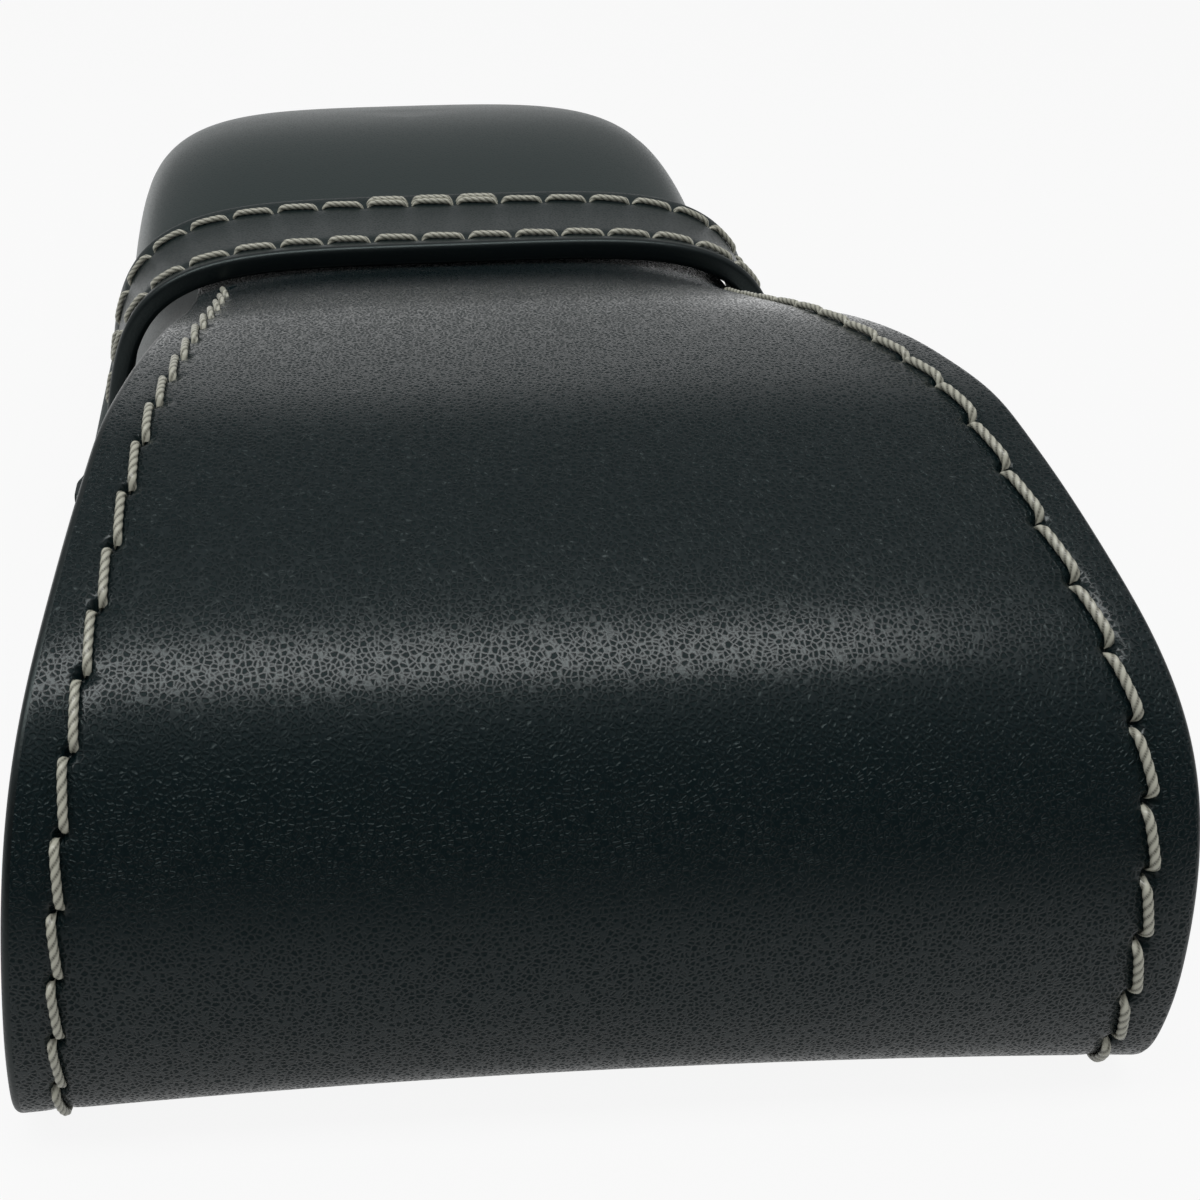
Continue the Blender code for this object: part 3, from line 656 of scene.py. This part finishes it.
def section_table():
    """Points round the section: share of the half width, reach past it, depth and side.

    The points are closest together round the row of stitches, whose holes they have to show.
    """
    from_edge = np.concatenate([np.linspace(0.6, 1.4, 3), np.linspace(1.8, 3.4, 13), [4.0, 5.0]])
    close = 1 - from_edge * MM / FOLD_HALF
    spread = np.sort(np.concatenate([-close, np.linspace(-0.84, 0.84, 70), close, [-1.0, 1.0]]))
    edge = rounded_edge(FLAP_THICK)
    table = [(share, 0.0, 0.0, OUTSIDE) for share in spread]
    table += [(1.0, reach, depth, EDGE) for reach, depth in edge[1:]]
    table += [(share, 0.0, FLAP_THICK, INSIDE) for share in np.linspace(1, -1, 61)[1:]]
    table += [(-1.0, -reach, depth, EDGE) for reach, depth in reversed(edge[:-1])]
    return np.array(table)


print("flap's section has", len(section_table()), "points")

# %% [markdown]
# The flap turns on two hinges, and it is built as two skins. The cut between them lies before the bend,
# where both still follow the front.

# %% Flap skins
FLAP_MARGIN = 3.1 * MM
FIRST_HOLE = 4.6 * MM
PHASE = 0.85 * MM
LINING_SHIFT = 0.3
BEND_REACH = 14 * MM
SPLIT = BEND_AT - BEND_REACH
TIP_RIM = 3 * MM
FLAP_PRESS = {
    "hole_depth": 0.75 * MM, "hole_length": 0.42 * MM, "hole_width": 0.36 * MM, "groove_width": 0.7 * MM,
}

flap_holes = FIRST_HOLE + PITCH * np.arange(-2, 40)
flap_holes = flap_holes[flap_holes < STRAP_AT + 0.4 * PITCH]


def flap_sheet(lengths):
    """Section swept along the flap, with the awl holes and the groove of the thread pressed in."""
    share, offset, depth, side = section_table().T
    along = np.broadcast_to(lengths[:, None], (len(lengths), len(share)))
    half = flap_half(along) - EDGE_ROUND
    x = share * half + offset
    off_line = np.abs(x) - (half + EDGE_ROUND - FLAP_MARGIN)
    from_holes = along[..., None] - flap_holes + np.where(x > 0, PHASE, 0.0)[..., None]
    near_hole = np.min(np.abs(from_holes), axis=2)
    sewn = (side == OUTSIDE) & (along > flap_holes[0]) & (along < flap_holes[-1])
    pressed = pressed_in(near_hole, off_line, **FLAP_PRESS)
    sunk = depth + np.where(sewn, pressed, 0.0)
    points = flap_point(x, along) - flap_normal(x, along) * sunk[..., None]
    flat = np.stack([x + LINING_SHIFT * (side == INSIDE), along, np.zeros_like(x)], axis=-1)
    bm = bmesh.new()
    layer = bm.verts.layers.float_vector.new("hide")
    add_grid(bm, points, flat, layer, [int(value) for value in side])
    bmesh.ops.remove_doubles(bm, verts=bm.verts, dist=MERGE)
    return bm


tip_start = FLAP_END - TONGUE_CORNER
near_cut = np.array([0.0, 0.1, 0.2]) * MM
front_lengths = np.concatenate([np.linspace(FLAP_START, SPLIT - 0.5 * MM, 170), SPLIT - near_cut[::-1]])
top_lengths = np.concatenate([
    SPLIT + near_cut,
    np.linspace(SPLIT + 0.5 * MM, tip_start, 430),
    tip_start + TONGUE_CORNER * np.sin(np.linspace(0, math.pi / 2, 16)[1:]),
])
front_bm = flap_sheet(front_lengths)
top_bm = flap_sheet(top_lengths)
rim = [edge for edge in top_bm.edges if edge.is_boundary]
tip_y = max(vert.co.y for edge in rim for vert in edge.verts)
tip_edges = [edge for edge in rim if min(vert.co.y for vert in edge.verts) > tip_y - TIP_RIM]
bmesh.ops.holes_fill(top_bm, edges=tip_edges)
flap_front = new_piece("flap_front_skin", front_bm, [flap_leather, edge_paint, flap_lining])
flap_top = new_piece("flap_top_skin", top_bm, [flap_leather, edge_paint, flap_lining])

# %% Flap skins in place of the part's flap leathers
bend_blend = {"start": stack(0.0, *profile_at(SPLIT)), "end": stack(0.0, *profile_at(BEND_AT + BEND_REACH))}
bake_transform(flap_front)
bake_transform(flap_top)
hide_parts("flap_front_leather", "flap_front_lining")
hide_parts("flap_top_leather", "flap_top_lining", "tongue_leather", "tongue_lining")
print("the cut between the flap's skins lies", round(SPLIT / MM, 1), "mm along the sheet")

# %% [markdown]
# The rows of stitches follow the flap's edges. Each is cut at the last hole before the cut in the sheet.

# %% Flap stitches
FLAP_SLANT = -0.28 * MM

split_hole = int(np.searchsorted(flap_holes, SPLIT)) - 1
lengths = np.linspace(FLAP_START, FLAP_END, 1500)
for word, side in (("left", -1), ("right", 1)):
    x = side * (flap_half(lengths) - FLAP_MARGIN)
    path, normals = flap_point(x, lengths), flap_normal(x, lengths)
    places = np.interp(flap_holes - (PHASE if side > 0 else 0.0), lengths, lengths_along(path))
    for stem, part in (("front", places[: split_hole + 1]), ("top", places[split_hole:])):
        row = stitch_row("flap_" + stem + "_stitches_" + word, path, normals, part, slant=FLAP_SLANT)
        if stem == "front":
            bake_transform(row)
        else:
            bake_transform(row)
        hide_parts("flap_" + stem + "_thread_" + word)
print("stitches along each side of the flap:", len(flap_holes) - 1)

# %% [markdown]
# ## Body
#
# The front of the body is one leather. It goes from the edge of the seam flange, through a soft crease, up
# the wall and over the crest. A box with bevels would show straight creases where the leather has none. So
# sections are taken all round, straight ones along the sides and a fan of them at the closed end, and the
# grid is laid through these. A Solidify modifier gives the sheet its thickness, with paint on the cut edge
# at the mouth.

# %% Sections round the body
FLANGE_LIP = 1.2 * MM
CREASE_SOFTNESS = 0.45 * MM
FAN_STEPS = 60
arch_levels = np.sin(np.linspace(0, math.pi / 2, 60)) ** 0.5


def fan_shares(turn):
    """Share of the half width and of the end's rounding, at an angle round the far end."""
    across, far = math.cos(turn), math.sin(turn)
    return math.copysign(abs(across) ** (2 / END_POWER), across), abs(far) ** (2 / END_POWER)


def feet_round(start_y, layer, count=60):
    """Feet of the wall from the left side round the far end to the right side.

    Each is the foot's x and y, its section's y on the middle line, and the shares across and far.
    """
    root, end = ROOT_HALF + layer, END_ROUNDING - FLANGE + layer
    left = [(-1.0, y, 0.0) for y in np.linspace(start_y, END_CENTRE, count)]
    fan = []
    for turn in np.linspace(math.pi, 0, FAN_STEPS)[1:-1]:
        across, far = fan_shares(turn)
        fan.append((across, END_CENTRE, far))
    right = [(1.0, y, far) for _, y, far in reversed(left)]
    return [(across * root, y + far * end, y, across, far) for across, y, far in left + fan + right]


def body_section(foot, layer, levels, flange):
    """One section from the edge of the flange, or from the foot, up to the crest."""
    foot_x, foot_y, middle_y, across, far = foot
    line = []
    if flange:
        edge_x, edge_y = CASE_HALF * across, middle_y + END_ROUNDING * far
        line += [(edge_x, edge_y, FLANGE_TOP - FLANGE_LIP), (edge_x, edge_y, FLANGE_TOP)]
    for level in levels:
        reach = float(arch_half(foot_y, level, layer)) / (ROOT_HALF + layer)
        x, y = foot_x * reach, middle_y + (foot_y - middle_y) * reach
        line.append((x, y, FLANGE_TOP + (float(body_rise(y)) + layer) * level))
    return np.array(line)


def body_grid(layer, flange, columns, first_level=0.0):
    """Rows of points over the body, one row for each section."""
    levels = first_level + (1 - first_level) * arch_levels
    rows = []
    for foot in feet_round(MOUTH_Y, layer):
        line = smoothed(body_section(foot, layer, levels, flange), CREASE_SOFTNESS, 500)
        row = even(line, columns)
        row[-1] = (0.0, line[-1, 1], line[-1, 2])
        rows.append(row)
    points = np.array(rows)
    points[..., 1] -= ORIGIN_Y
    return points


print("sections round the body:", len(feet_round(MOUTH_Y, 0.0)))

# %% Moulded front and its lining
SHELL_LEATHER = 1.4 * MM
LINING_LAYER = -1.45 * MM
LINING_AND_BOARD = 1.7 * MM


def body_skin(name, points, outer, thickness):
    """Leather laid over the body, with its thickness inwards and paint on the cut edge."""
    bm = bmesh.new()
    add_grid(bm, points)
    piece = new_piece(name, bm, [outer, edge_paint], "case")
    wall = piece.modifiers.new("leather", "SOLIDIFY")
    wall.thickness = thickness
    wall.offset = -1.0
    wall.material_offset_rim = 1
    return piece


shell = body_skin("front_shell_skin", body_grid(0.0, True, 110), body_leather, SHELL_LEATHER)
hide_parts("front_shell")
lining_points = body_grid(LINING_LAYER, False, 60, first_level=0.02)
front_lining = body_skin("front_lining_skin", lining_points, lining_leather, LINING_AND_BOARD)
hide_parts("front_lining", "front_board")

# %% [markdown]
# ## Back panel
#
# The back is a flat leather with the outline of the flange, narrowing at the near end to the width of the
# fold. It could be cut out of a plain slab, but it shares the sections of the body, and so its edge runs
# exactly under the flange's. Only its rim shows, so that gets a small bevel.

# %% Back panel
PANEL_THICK = 1.45 * MM
PANEL_BEVEL = 0.4 * MM

rows = []
for _, _, middle_y, across, far in feet_round(FOLD_RADIUS + FLAT_LEAD, 0.0, 40):
    half = float(FOLD_HALF + (CASE_HALF - FOLD_HALF) * ease(middle_y / MOUTH_Y))
    edge = np.array([half * across, middle_y + END_ROUNDING * far])
    middle = np.array([0.0, middle_y])
    rows.append([[*(edge + (middle - edge) * share), PANEL_THICK] for share in np.linspace(0, 1, 12)])
points = np.array(rows)
points[..., 1] -= ORIGIN_Y
bm = bmesh.new()
add_grid(bm, points)
back = new_piece("back_skin", bm, [body_leather], "case")
slab = back.modifiers.new("thickness", "SOLIDIFY")
slab.thickness = PANEL_THICK
slab.offset = -1.0
rounding = back.modifiers.new("edge", "BEVEL")
rounding.width = PANEL_BEVEL
rounding.segments = 3
rounding.limit_method = "ANGLE"
rounding.angle_limit = math.radians(60)
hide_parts("back_leather")

# %% [markdown]
# ## Strap
#
# The strap is a band of two leathers, glued, painted at the edges, sewn with two rows and pulled tight over
# the body. A flat band could be bent by a modifier, but it would have to be fitted by eye. Its path comes
# from the body's own height and width instead, a little further out, and its rounded section is swept along
# that path. The feet turn outwards on the flange, and their back corners are trimmed at a slant.

# %% Strap path
STRAP_THICK = 2.0 * MM
STRAP_LAYER = 4.8 * MM
STRAP_SIDE = 2.5 * MM
STRAP_FOOT = FLANGE_TOP + 2.3 * MM
STRAP_ROOT = ROOT_HALF + STRAP_SIDE
STRAP_POWER = 4.5
STRAP_SOFTNESS = 0.5 * MM


def strap_line(y):
    """Outer path of the strap from foot to foot, as (x, z)."""
    rise = FLANGE_TOP + float(body_rise(y)) + STRAP_LAYER - STRAP_FOOT
    shoulder = float(shoulder_half(y)) + STRAP_SIDE
    half = [(CASE_HALF, STRAP_FOOT)]
    for turn in np.linspace(0, math.pi / 2, 160):
        level = math.sin(turn) ** (2 / STRAP_POWER)
        flared = shoulder + (STRAP_ROOT - shoulder) * (1 - level) ** 2
        half.append((flared * max(math.cos(turn), 0.0) ** (2 / STRAP_POWER), STRAP_FOOT + rise * level))
    line = [(-x, z) for x, z in half] + [(x, z) for x, z in reversed(half[:-1])]
    return smoothed(np.array(line), STRAP_SOFTNESS, 1400)


def strap_rows(ys, count):
    """Evenly spaced points across the strap at each of some places along the case."""
    rows = []
    for y in ys:
        row = even(strap_line(y), count)
        rows.append(np.stack([row[:, 0], np.full(count, y - ORIGIN_Y), row[:, 1]], axis=1))
    return np.array(rows)


STRAP_COLUMNS = 420
outer_y = np.linspace(STRAP_FRONT + EDGE_ROUND, STRAP_BACK - EDGE_ROUND, 45)
base = strap_rows(outer_y, STRAP_COLUMNS)
base_normals = grid_normals(base)
strap_length = lengths_along(base[len(outer_y) // 2])[-1]
print("strap is", round((STRAP_BACK - STRAP_FRONT) / MM, 1), "mm wide and", round(strap_length / MM, 1),
      "mm long over its arch")

# %% Holes in the strap
STRAP_MARGIN = 2.2 * MM
STRAP_PHASE = 0.35
STRAP_PRESS = {
    "hole_depth": 0.24 * MM, "hole_length": 0.55 * MM, "hole_width": 0.55 * MM, "groove_width": 0.9 * MM,
}

front_y, back_y = STRAP_FRONT + STRAP_MARGIN, STRAP_BACK - STRAP_MARGIN
strap_holes = strap_length / 2 + PITCH * (np.arange(-10, 11) + STRAP_PHASE)
strap_s = np.linspace(0, strap_length, STRAP_COLUMNS)
near_hole = np.min(np.abs(strap_s[:, None] - strap_holes), axis=1)[None, :]
sewn = ((strap_s > strap_holes[0]) & (strap_s < strap_holes[-1]))[None, :]
pressed = 0.0
for y in (front_y, back_y):
    row_press = pressed_in(near_hole, outer_y[:, None] - y, **STRAP_PRESS)
    pressed = pressed + np.where(sewn, row_press, 0.0)
outer = base - base_normals * pressed[..., None]
print("stitches in each row of the strap:", len(strap_holes) - 1)

# %% Strap skin
FOOT_CUT = 0.92
FOOT_CUT_START = STRAP_FRONT + 2.5 * MM
FOOT_CUT_RUN = 6 * MM
LINING_HIDE = (0.2, 0.3)


def strap_edge(k, way):
    """Rows round the painted edge beside row k of the strap, from the outer leather to the lining."""
    return [
        base[k] + np.array([0, way * reach, 0]) - base_normals[k] * depth
        for reach, depth in rounded_edge(STRAP_THICK)[1:]
    ]


inner = [base[k] - base_normals[k] * STRAP_THICK for k in range(len(outer_y) - 1, -1, -4)][1:-1]
back_edge, front_edge = strap_edge(-1, 1.0), strap_edge(0, -1.0)[::-1]
ring = list(outer) + back_edge + inner + front_edge + [outer[0]]
strap_slots = [OUTSIDE] * (len(outer) - 1) + [EDGE] * len(back_edge) + [INSIDE] * len(inner)
strap_slots += [EDGE] * (len(front_edge) + 1)
strap_grid = np.array(ring).transpose(1, 0, 2)
cut = FOOT_CUT * ease((strap_grid[..., 1] + ORIGIN_Y - FOOT_CUT_START) / FOOT_CUT_RUN)
past_root = np.maximum(np.abs(strap_grid[..., 0]) - STRAP_ROOT, 0.0)
strap_grid[..., 0] -= np.sign(strap_grid[..., 0]) * past_root * cut

across_hide = np.concatenate([outer_y, np.linspace(*LINING_HIDE, len(ring) - len(outer_y))])
flat = np.stack(np.broadcast_arrays(across_hide[None, :], strap_s[:, None], 0.0), axis=-1)
flat[:, -1] = flat[:, 0]
bm = bmesh.new()
layer = bm.verts.layers.float_vector.new("hide")
add_grid(bm, strap_grid[:, ::-1], flat[:, ::-1], layer, strap_slots[::-1])
bmesh.ops.remove_doubles(bm, verts=bm.verts, dist=MERGE)
bmesh.ops.holes_fill(bm, edges=[edge for edge in bm.edges if edge.is_boundary])
bmesh.ops.recalc_face_normals(bm, faces=bm.faces)
strap = new_piece("strap_skin", bm, [strap_leather, edge_paint, flap_lining], "case")
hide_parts("strap_leather", "strap_lining")

# %% [markdown]
# The two rows of the strap are sewn in the holes pressed above. In the middle of the back row the thread was
# passed a second time through the same holes to lock its end, and those three stitches lie beside the others
# and a little higher. A helper finishes each row on the fixed body, and serves the seams below too.

# %% Strap stitches
LOCKED_HOLES = slice(8, 12)
LOCK_SHIFT = 0.5 * MM
LOCK_LIFT = 0.30 * MM
LOCK_SLANT = 0.10 * MM


def sew(name, path, normals, holes, node=None, **stitch):
    """One row on the fixed body, in place of the part's plain thread where that is named."""
    row = stitch_row(name, path, normals, holes, **stitch)
    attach(row, "case")
    if node is not None:
        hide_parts(node)


def sew_strap(word, y, holes, node=None, **stitch):
    path = strap_rows([y], 900)[0]
    places = holes * lengths_along(path)[-1] / strap_length
    sew("strap_stitches_" + word, path, path_normals(path), places, node, **stitch)


sew_strap("front", front_y, strap_holes, "strap_thread_front")
sew_strap("back", back_y, strap_holes, "strap_thread_back")
sew_strap("lock", back_y + LOCK_SHIFT, strap_holes[LOCKED_HOLES], lift=LOCK_LIFT, slant=LOCK_SLANT)

# %% [markdown]
# ## Seam and mouth stitches
#
# The flange is sewn all round the body behind the strap, and on both sides between the mouth and the strap.
# A row along the mouth holds leather and lining together. They are the same stitches as before, with fewer
# faces, because they are seen only from behind or with the flap open.

# %% Seam stitches
SEAM_INSET = 1.9 * MM
PLAIN = {"rings": 14, "sides": 10}


def even_holes(path, room):
    """Holes nearest to the usual pitch that divide a path evenly, with room left at its ends."""
    total = lengths_along(path)[-1]
    count = round((total - 2 * room) / PITCH)
    return np.linspace(room, total - room, count + 1)


def sew_flange(name, line, node):
    path = np.array([(x, y - ORIGIN_Y, FLANGE_TOP) for x, y in line])
    normals = np.tile((0.0, 0.0, 1.0), (len(path), 1))
    sew(name, path, normals, even_holes(path, 0.0), node, **PLAIN)


seam_half, seam_end = CASE_HALF - SEAM_INSET, END_ROUNDING - SEAM_INSET
left = [(-seam_half, y) for y in np.linspace(STRAP_BACK + 1.5 * MM, END_CENTRE, 60)]
far_end = [fan_shares(turn) for turn in np.linspace(math.pi, 0, 200)[1:-1]]
far_end = [(seam_half * across, END_CENTRE + seam_end * far) for across, far in far_end]
sew_flange("seam_stitches", left + far_end + [(-x, y) for x, y in reversed(left)], "seam_thread")
for word, side in (("left", -1), ("right", 1)):
    line = [(side * seam_half, y) for y in np.linspace(MOUTH_Y + 2 * MM, STRAP_FRONT - 2 * MM, 60)]
    sew_flange("mouth_side_stitches_" + word, line, "mouth_side_thread_" + word)

# %% Mouth stitches
mouth_y = MOUTH_Y + 2.5 * MM
mouth_rise = float(body_rise(mouth_y))
half_line = [
    (float(arch_half(mouth_y, level, 0.0)), FLANGE_TOP + mouth_rise * level) for level in arch_levels
]
mouth_line = [(-x, z) for x, z in half_line] + [(x, z) for x, z in reversed(half_line[:-1])]
path = even(np.array([(x, mouth_y - ORIGIN_Y, z) for x, z in mouth_line]), 700)
sew("mouth_stitches", path, path_normals(path), even_holes(path, FLANGE), "mouth_thread", **PLAIN)
print("the row along the mouth is", round(lengths_along(path)[-1] / MM, 1), "mm long")

# %% [markdown]
# ## Inside
#
# The back's lining and board and the two dividers show only in the mouth and in front of it, mostly when the
# flap is open. They are plain cut sheets and would gain little from being built again, so they keep the
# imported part's shapes and get the lining's finish.

# %% Inside pieces
for name in ("back_lining", "back_board", "divider_left", "divider_right"):
    node = frame["nodes"][name]
    node.data.materials.clear()
    node.data.materials.append(lining_leather)
    print(name, "keeps its own shape")

# %% [markdown]
# ## Setting
#
# The setting is plain white with soft light. Black leather shows hardly any colour of its own, only what it
# mirrors, so the brightness of the room round it shapes it. Many lamps could give that, each with its own
# edge in the gloss. Here the world and the floor are graded instead: a mirrored ray finds little light in
# front of the case and plenty behind it, a ray from the camera finds white, and the shadows' light is even.

# %% Graded brightness
WHITE = (1.0, 1.0, 1.0, 1.0)


def graded(tree, coordinate, source, stops):
    """Brightness along y, between the two ends of a range, through stops of (place, brightness)."""
    parts = tree.nodes.new("ShaderNodeSeparateXYZ")
    tree.links.new(coordinate, parts.inputs[0])
    ramp = tree.nodes.new("ShaderNodeValToRGB")
    for place, _ in stops[1:-1]:
        ramp.color_ramp.elements.new(place)
    for stop, (place, level) in zip(ramp.color_ramp.elements, stops):
        stop.position = place
        stop.color = (level, level, level, 1.0)
    tree.links.new(map_range(tree, parts.outputs["Y"], source, (0.0, 1.0)), ramp.inputs[0])
    return ramp.outputs[0]


def mixed(tree, share, first, second):
    mix = tree.nodes.new("ShaderNodeMixShader")
    for slot, socket in enumerate((share, first, second)):
        tree.links.new(socket, mix.inputs[slot])
    return mix.outputs[0]


# %% World
FILL = 0.42
SKY_STOPS = (
    (0.0, 0.06), (0.10, 0.07), (0.22, 0.14), (0.36, 0.34), (0.52, 0.40),
    (0.75, 0.30), (0.90, 0.37), (0.97, 0.40), (1.0, 0.70),
)

world = bpy.data.worlds.new("studio")
bpy.context.scene.world = world
world.use_nodes = True
tree = world.node_tree
soft = tree.nodes["Background"]
soft.inputs["Color"].default_value = WHITE
soft.inputs["Strength"].default_value = FILL
white = tree.nodes.new("ShaderNodeBackground")
white.inputs["Color"].default_value = WHITE
rays = tree.nodes.new("ShaderNodeLightPath").outputs
way = tree.nodes.new("ShaderNodeTexCoord").outputs["Generated"]
sky = graded(tree, way, (-1.0, 1.0), SKY_STOPS)
tree.links.new(math_node(tree, "MAXIMUM", sky, rays["Is Camera Ray"]), white.inputs["Strength"])
seen = math_node(tree, "MAXIMUM", rays["Is Camera Ray"], rays["Is Glossy Ray"])
tree.links.new(mixed(tree, seen, soft.outputs[0], white.outputs[0]), tree.nodes["World Output"].inputs[0])
print("world: brightness", SKY_STOPS[0][1], "in front to", SKY_STOPS[-1][1], "at the back")

# %% Floor
FLOOR_Z = -0.05 * MM
FLOOR_HALF = 3.0
FLOOR_GLOW = 0.9
FLOOR_SPAN = (-0.30, 0.10)
FLOOR_STOPS = ((0.0, 0.07), (0.35, 0.16), (0.45, 0.36), (0.50, 0.52), (0.80, 0.60), (1.0, 1.0))

floor_material, floor_shader = principled("floor", (0.6, 0.6, 0.6), 0.9)
tree = floor_material.node_tree
glow = tree.nodes.new("ShaderNodeEmission")
glow.inputs["Color"].default_value = WHITE
rays = tree.nodes.new("ShaderNodeLightPath").outputs
spot = tree.nodes.new("ShaderNodeTexCoord").outputs["Object"]
shine = graded(tree, spot, FLOOR_SPAN, FLOOR_STOPS)
tree.links.new(math_node(tree, "MAXIMUM", shine, rays["Is Camera Ray"]), glow.inputs["Strength"])
seen = math_node(tree, "MULTIPLY", rays["Is Camera Ray"], FLOOR_GLOW)
seen = math_node(tree, "MAXIMUM", seen, rays["Is Glossy Ray"])
floor_mix = mixed(tree, seen, floor_shader.outputs[0], glow.outputs[0])
tree.links.new(floor_mix, tree.nodes["Material Output"].inputs[0])
bm = bmesh.new()
bmesh.ops.create_grid(bm, x_segments=1, y_segments=1, size=FLOOR_HALF)
bmesh.ops.translate(bm, verts=bm.verts, vec=(0, 0, FLOOR_Z))
floor = new_piece("floor", bm, [floor_material])

# %% [markdown]
# One long narrow lamp hangs over the case. It lays the broad bright band across the bend of the flap, and
# its long side runs across the case, so that the band reaches from seam to seam.

# %% Lamp
light = bpy.data.lights.new("overhead", "AREA")
light.shape = "RECTANGLE"
light.size = 0.90
light.size_y = 0.16
light.energy = 2.4
lamp = bpy.data.objects.new("overhead", light)
lamp.location = (-0.16, -0.078, 0.62)
bpy.context.scene.collection.objects.link(lamp)
print("lamp hangs", round(lamp.location.z, 2), "m above the table")

# %% [markdown]
# ## Camera
#
# The camera is close to the near end and looks down over the flap, a little from the left. Its place, turn
# and lens were worked out from the outline of the case in the photograph. The frame is shifted, not turned,
# to where the case lies in the picture, which keeps the upright lines as they are there.

# %% Camera
LENS_MM = 39.0
SENSOR_MM = 36.0
FRAME_SHIFT = (0.188, 0.045)
CAMERA_X, CAMERA_BEFORE_FLAP, CAMERA_Z = -16.13 * MM, 47.47 * MM, 74.1 * MM
RIGHT = Vector((0.9973, -0.0739, -0.009))
UP = Vector((0.0518, 0.5998, 0.799))
FORWARD = Vector((0.0533, 0.7968, -0.602))

camera_data = bpy.data.cameras.new("camera")
camera_data.sensor_width = SENSOR_MM
camera_data.lens = LENS_MM
camera_data.shift_x, camera_data.shift_y = FRAME_SHIFT
camera_data.clip_start = 1 * MM
camera = bpy.data.objects.new("camera", camera_data)
bpy.context.scene.collection.objects.link(camera)
bpy.context.scene.camera = camera
camera.rotation_mode = "QUATERNION"
camera.rotation_quaternion = Matrix((RIGHT, UP, -FORWARD)).transposed().to_quaternion()
camera.location = (CAMERA_X, -CAMERA_BEFORE_FLAP - ORIGIN_Y, CAMERA_Z)
bpy.context.scene.view_settings.view_transform = "Standard"
print("camera stands", round(camera.location.length, 3), "m from the middle of the case")
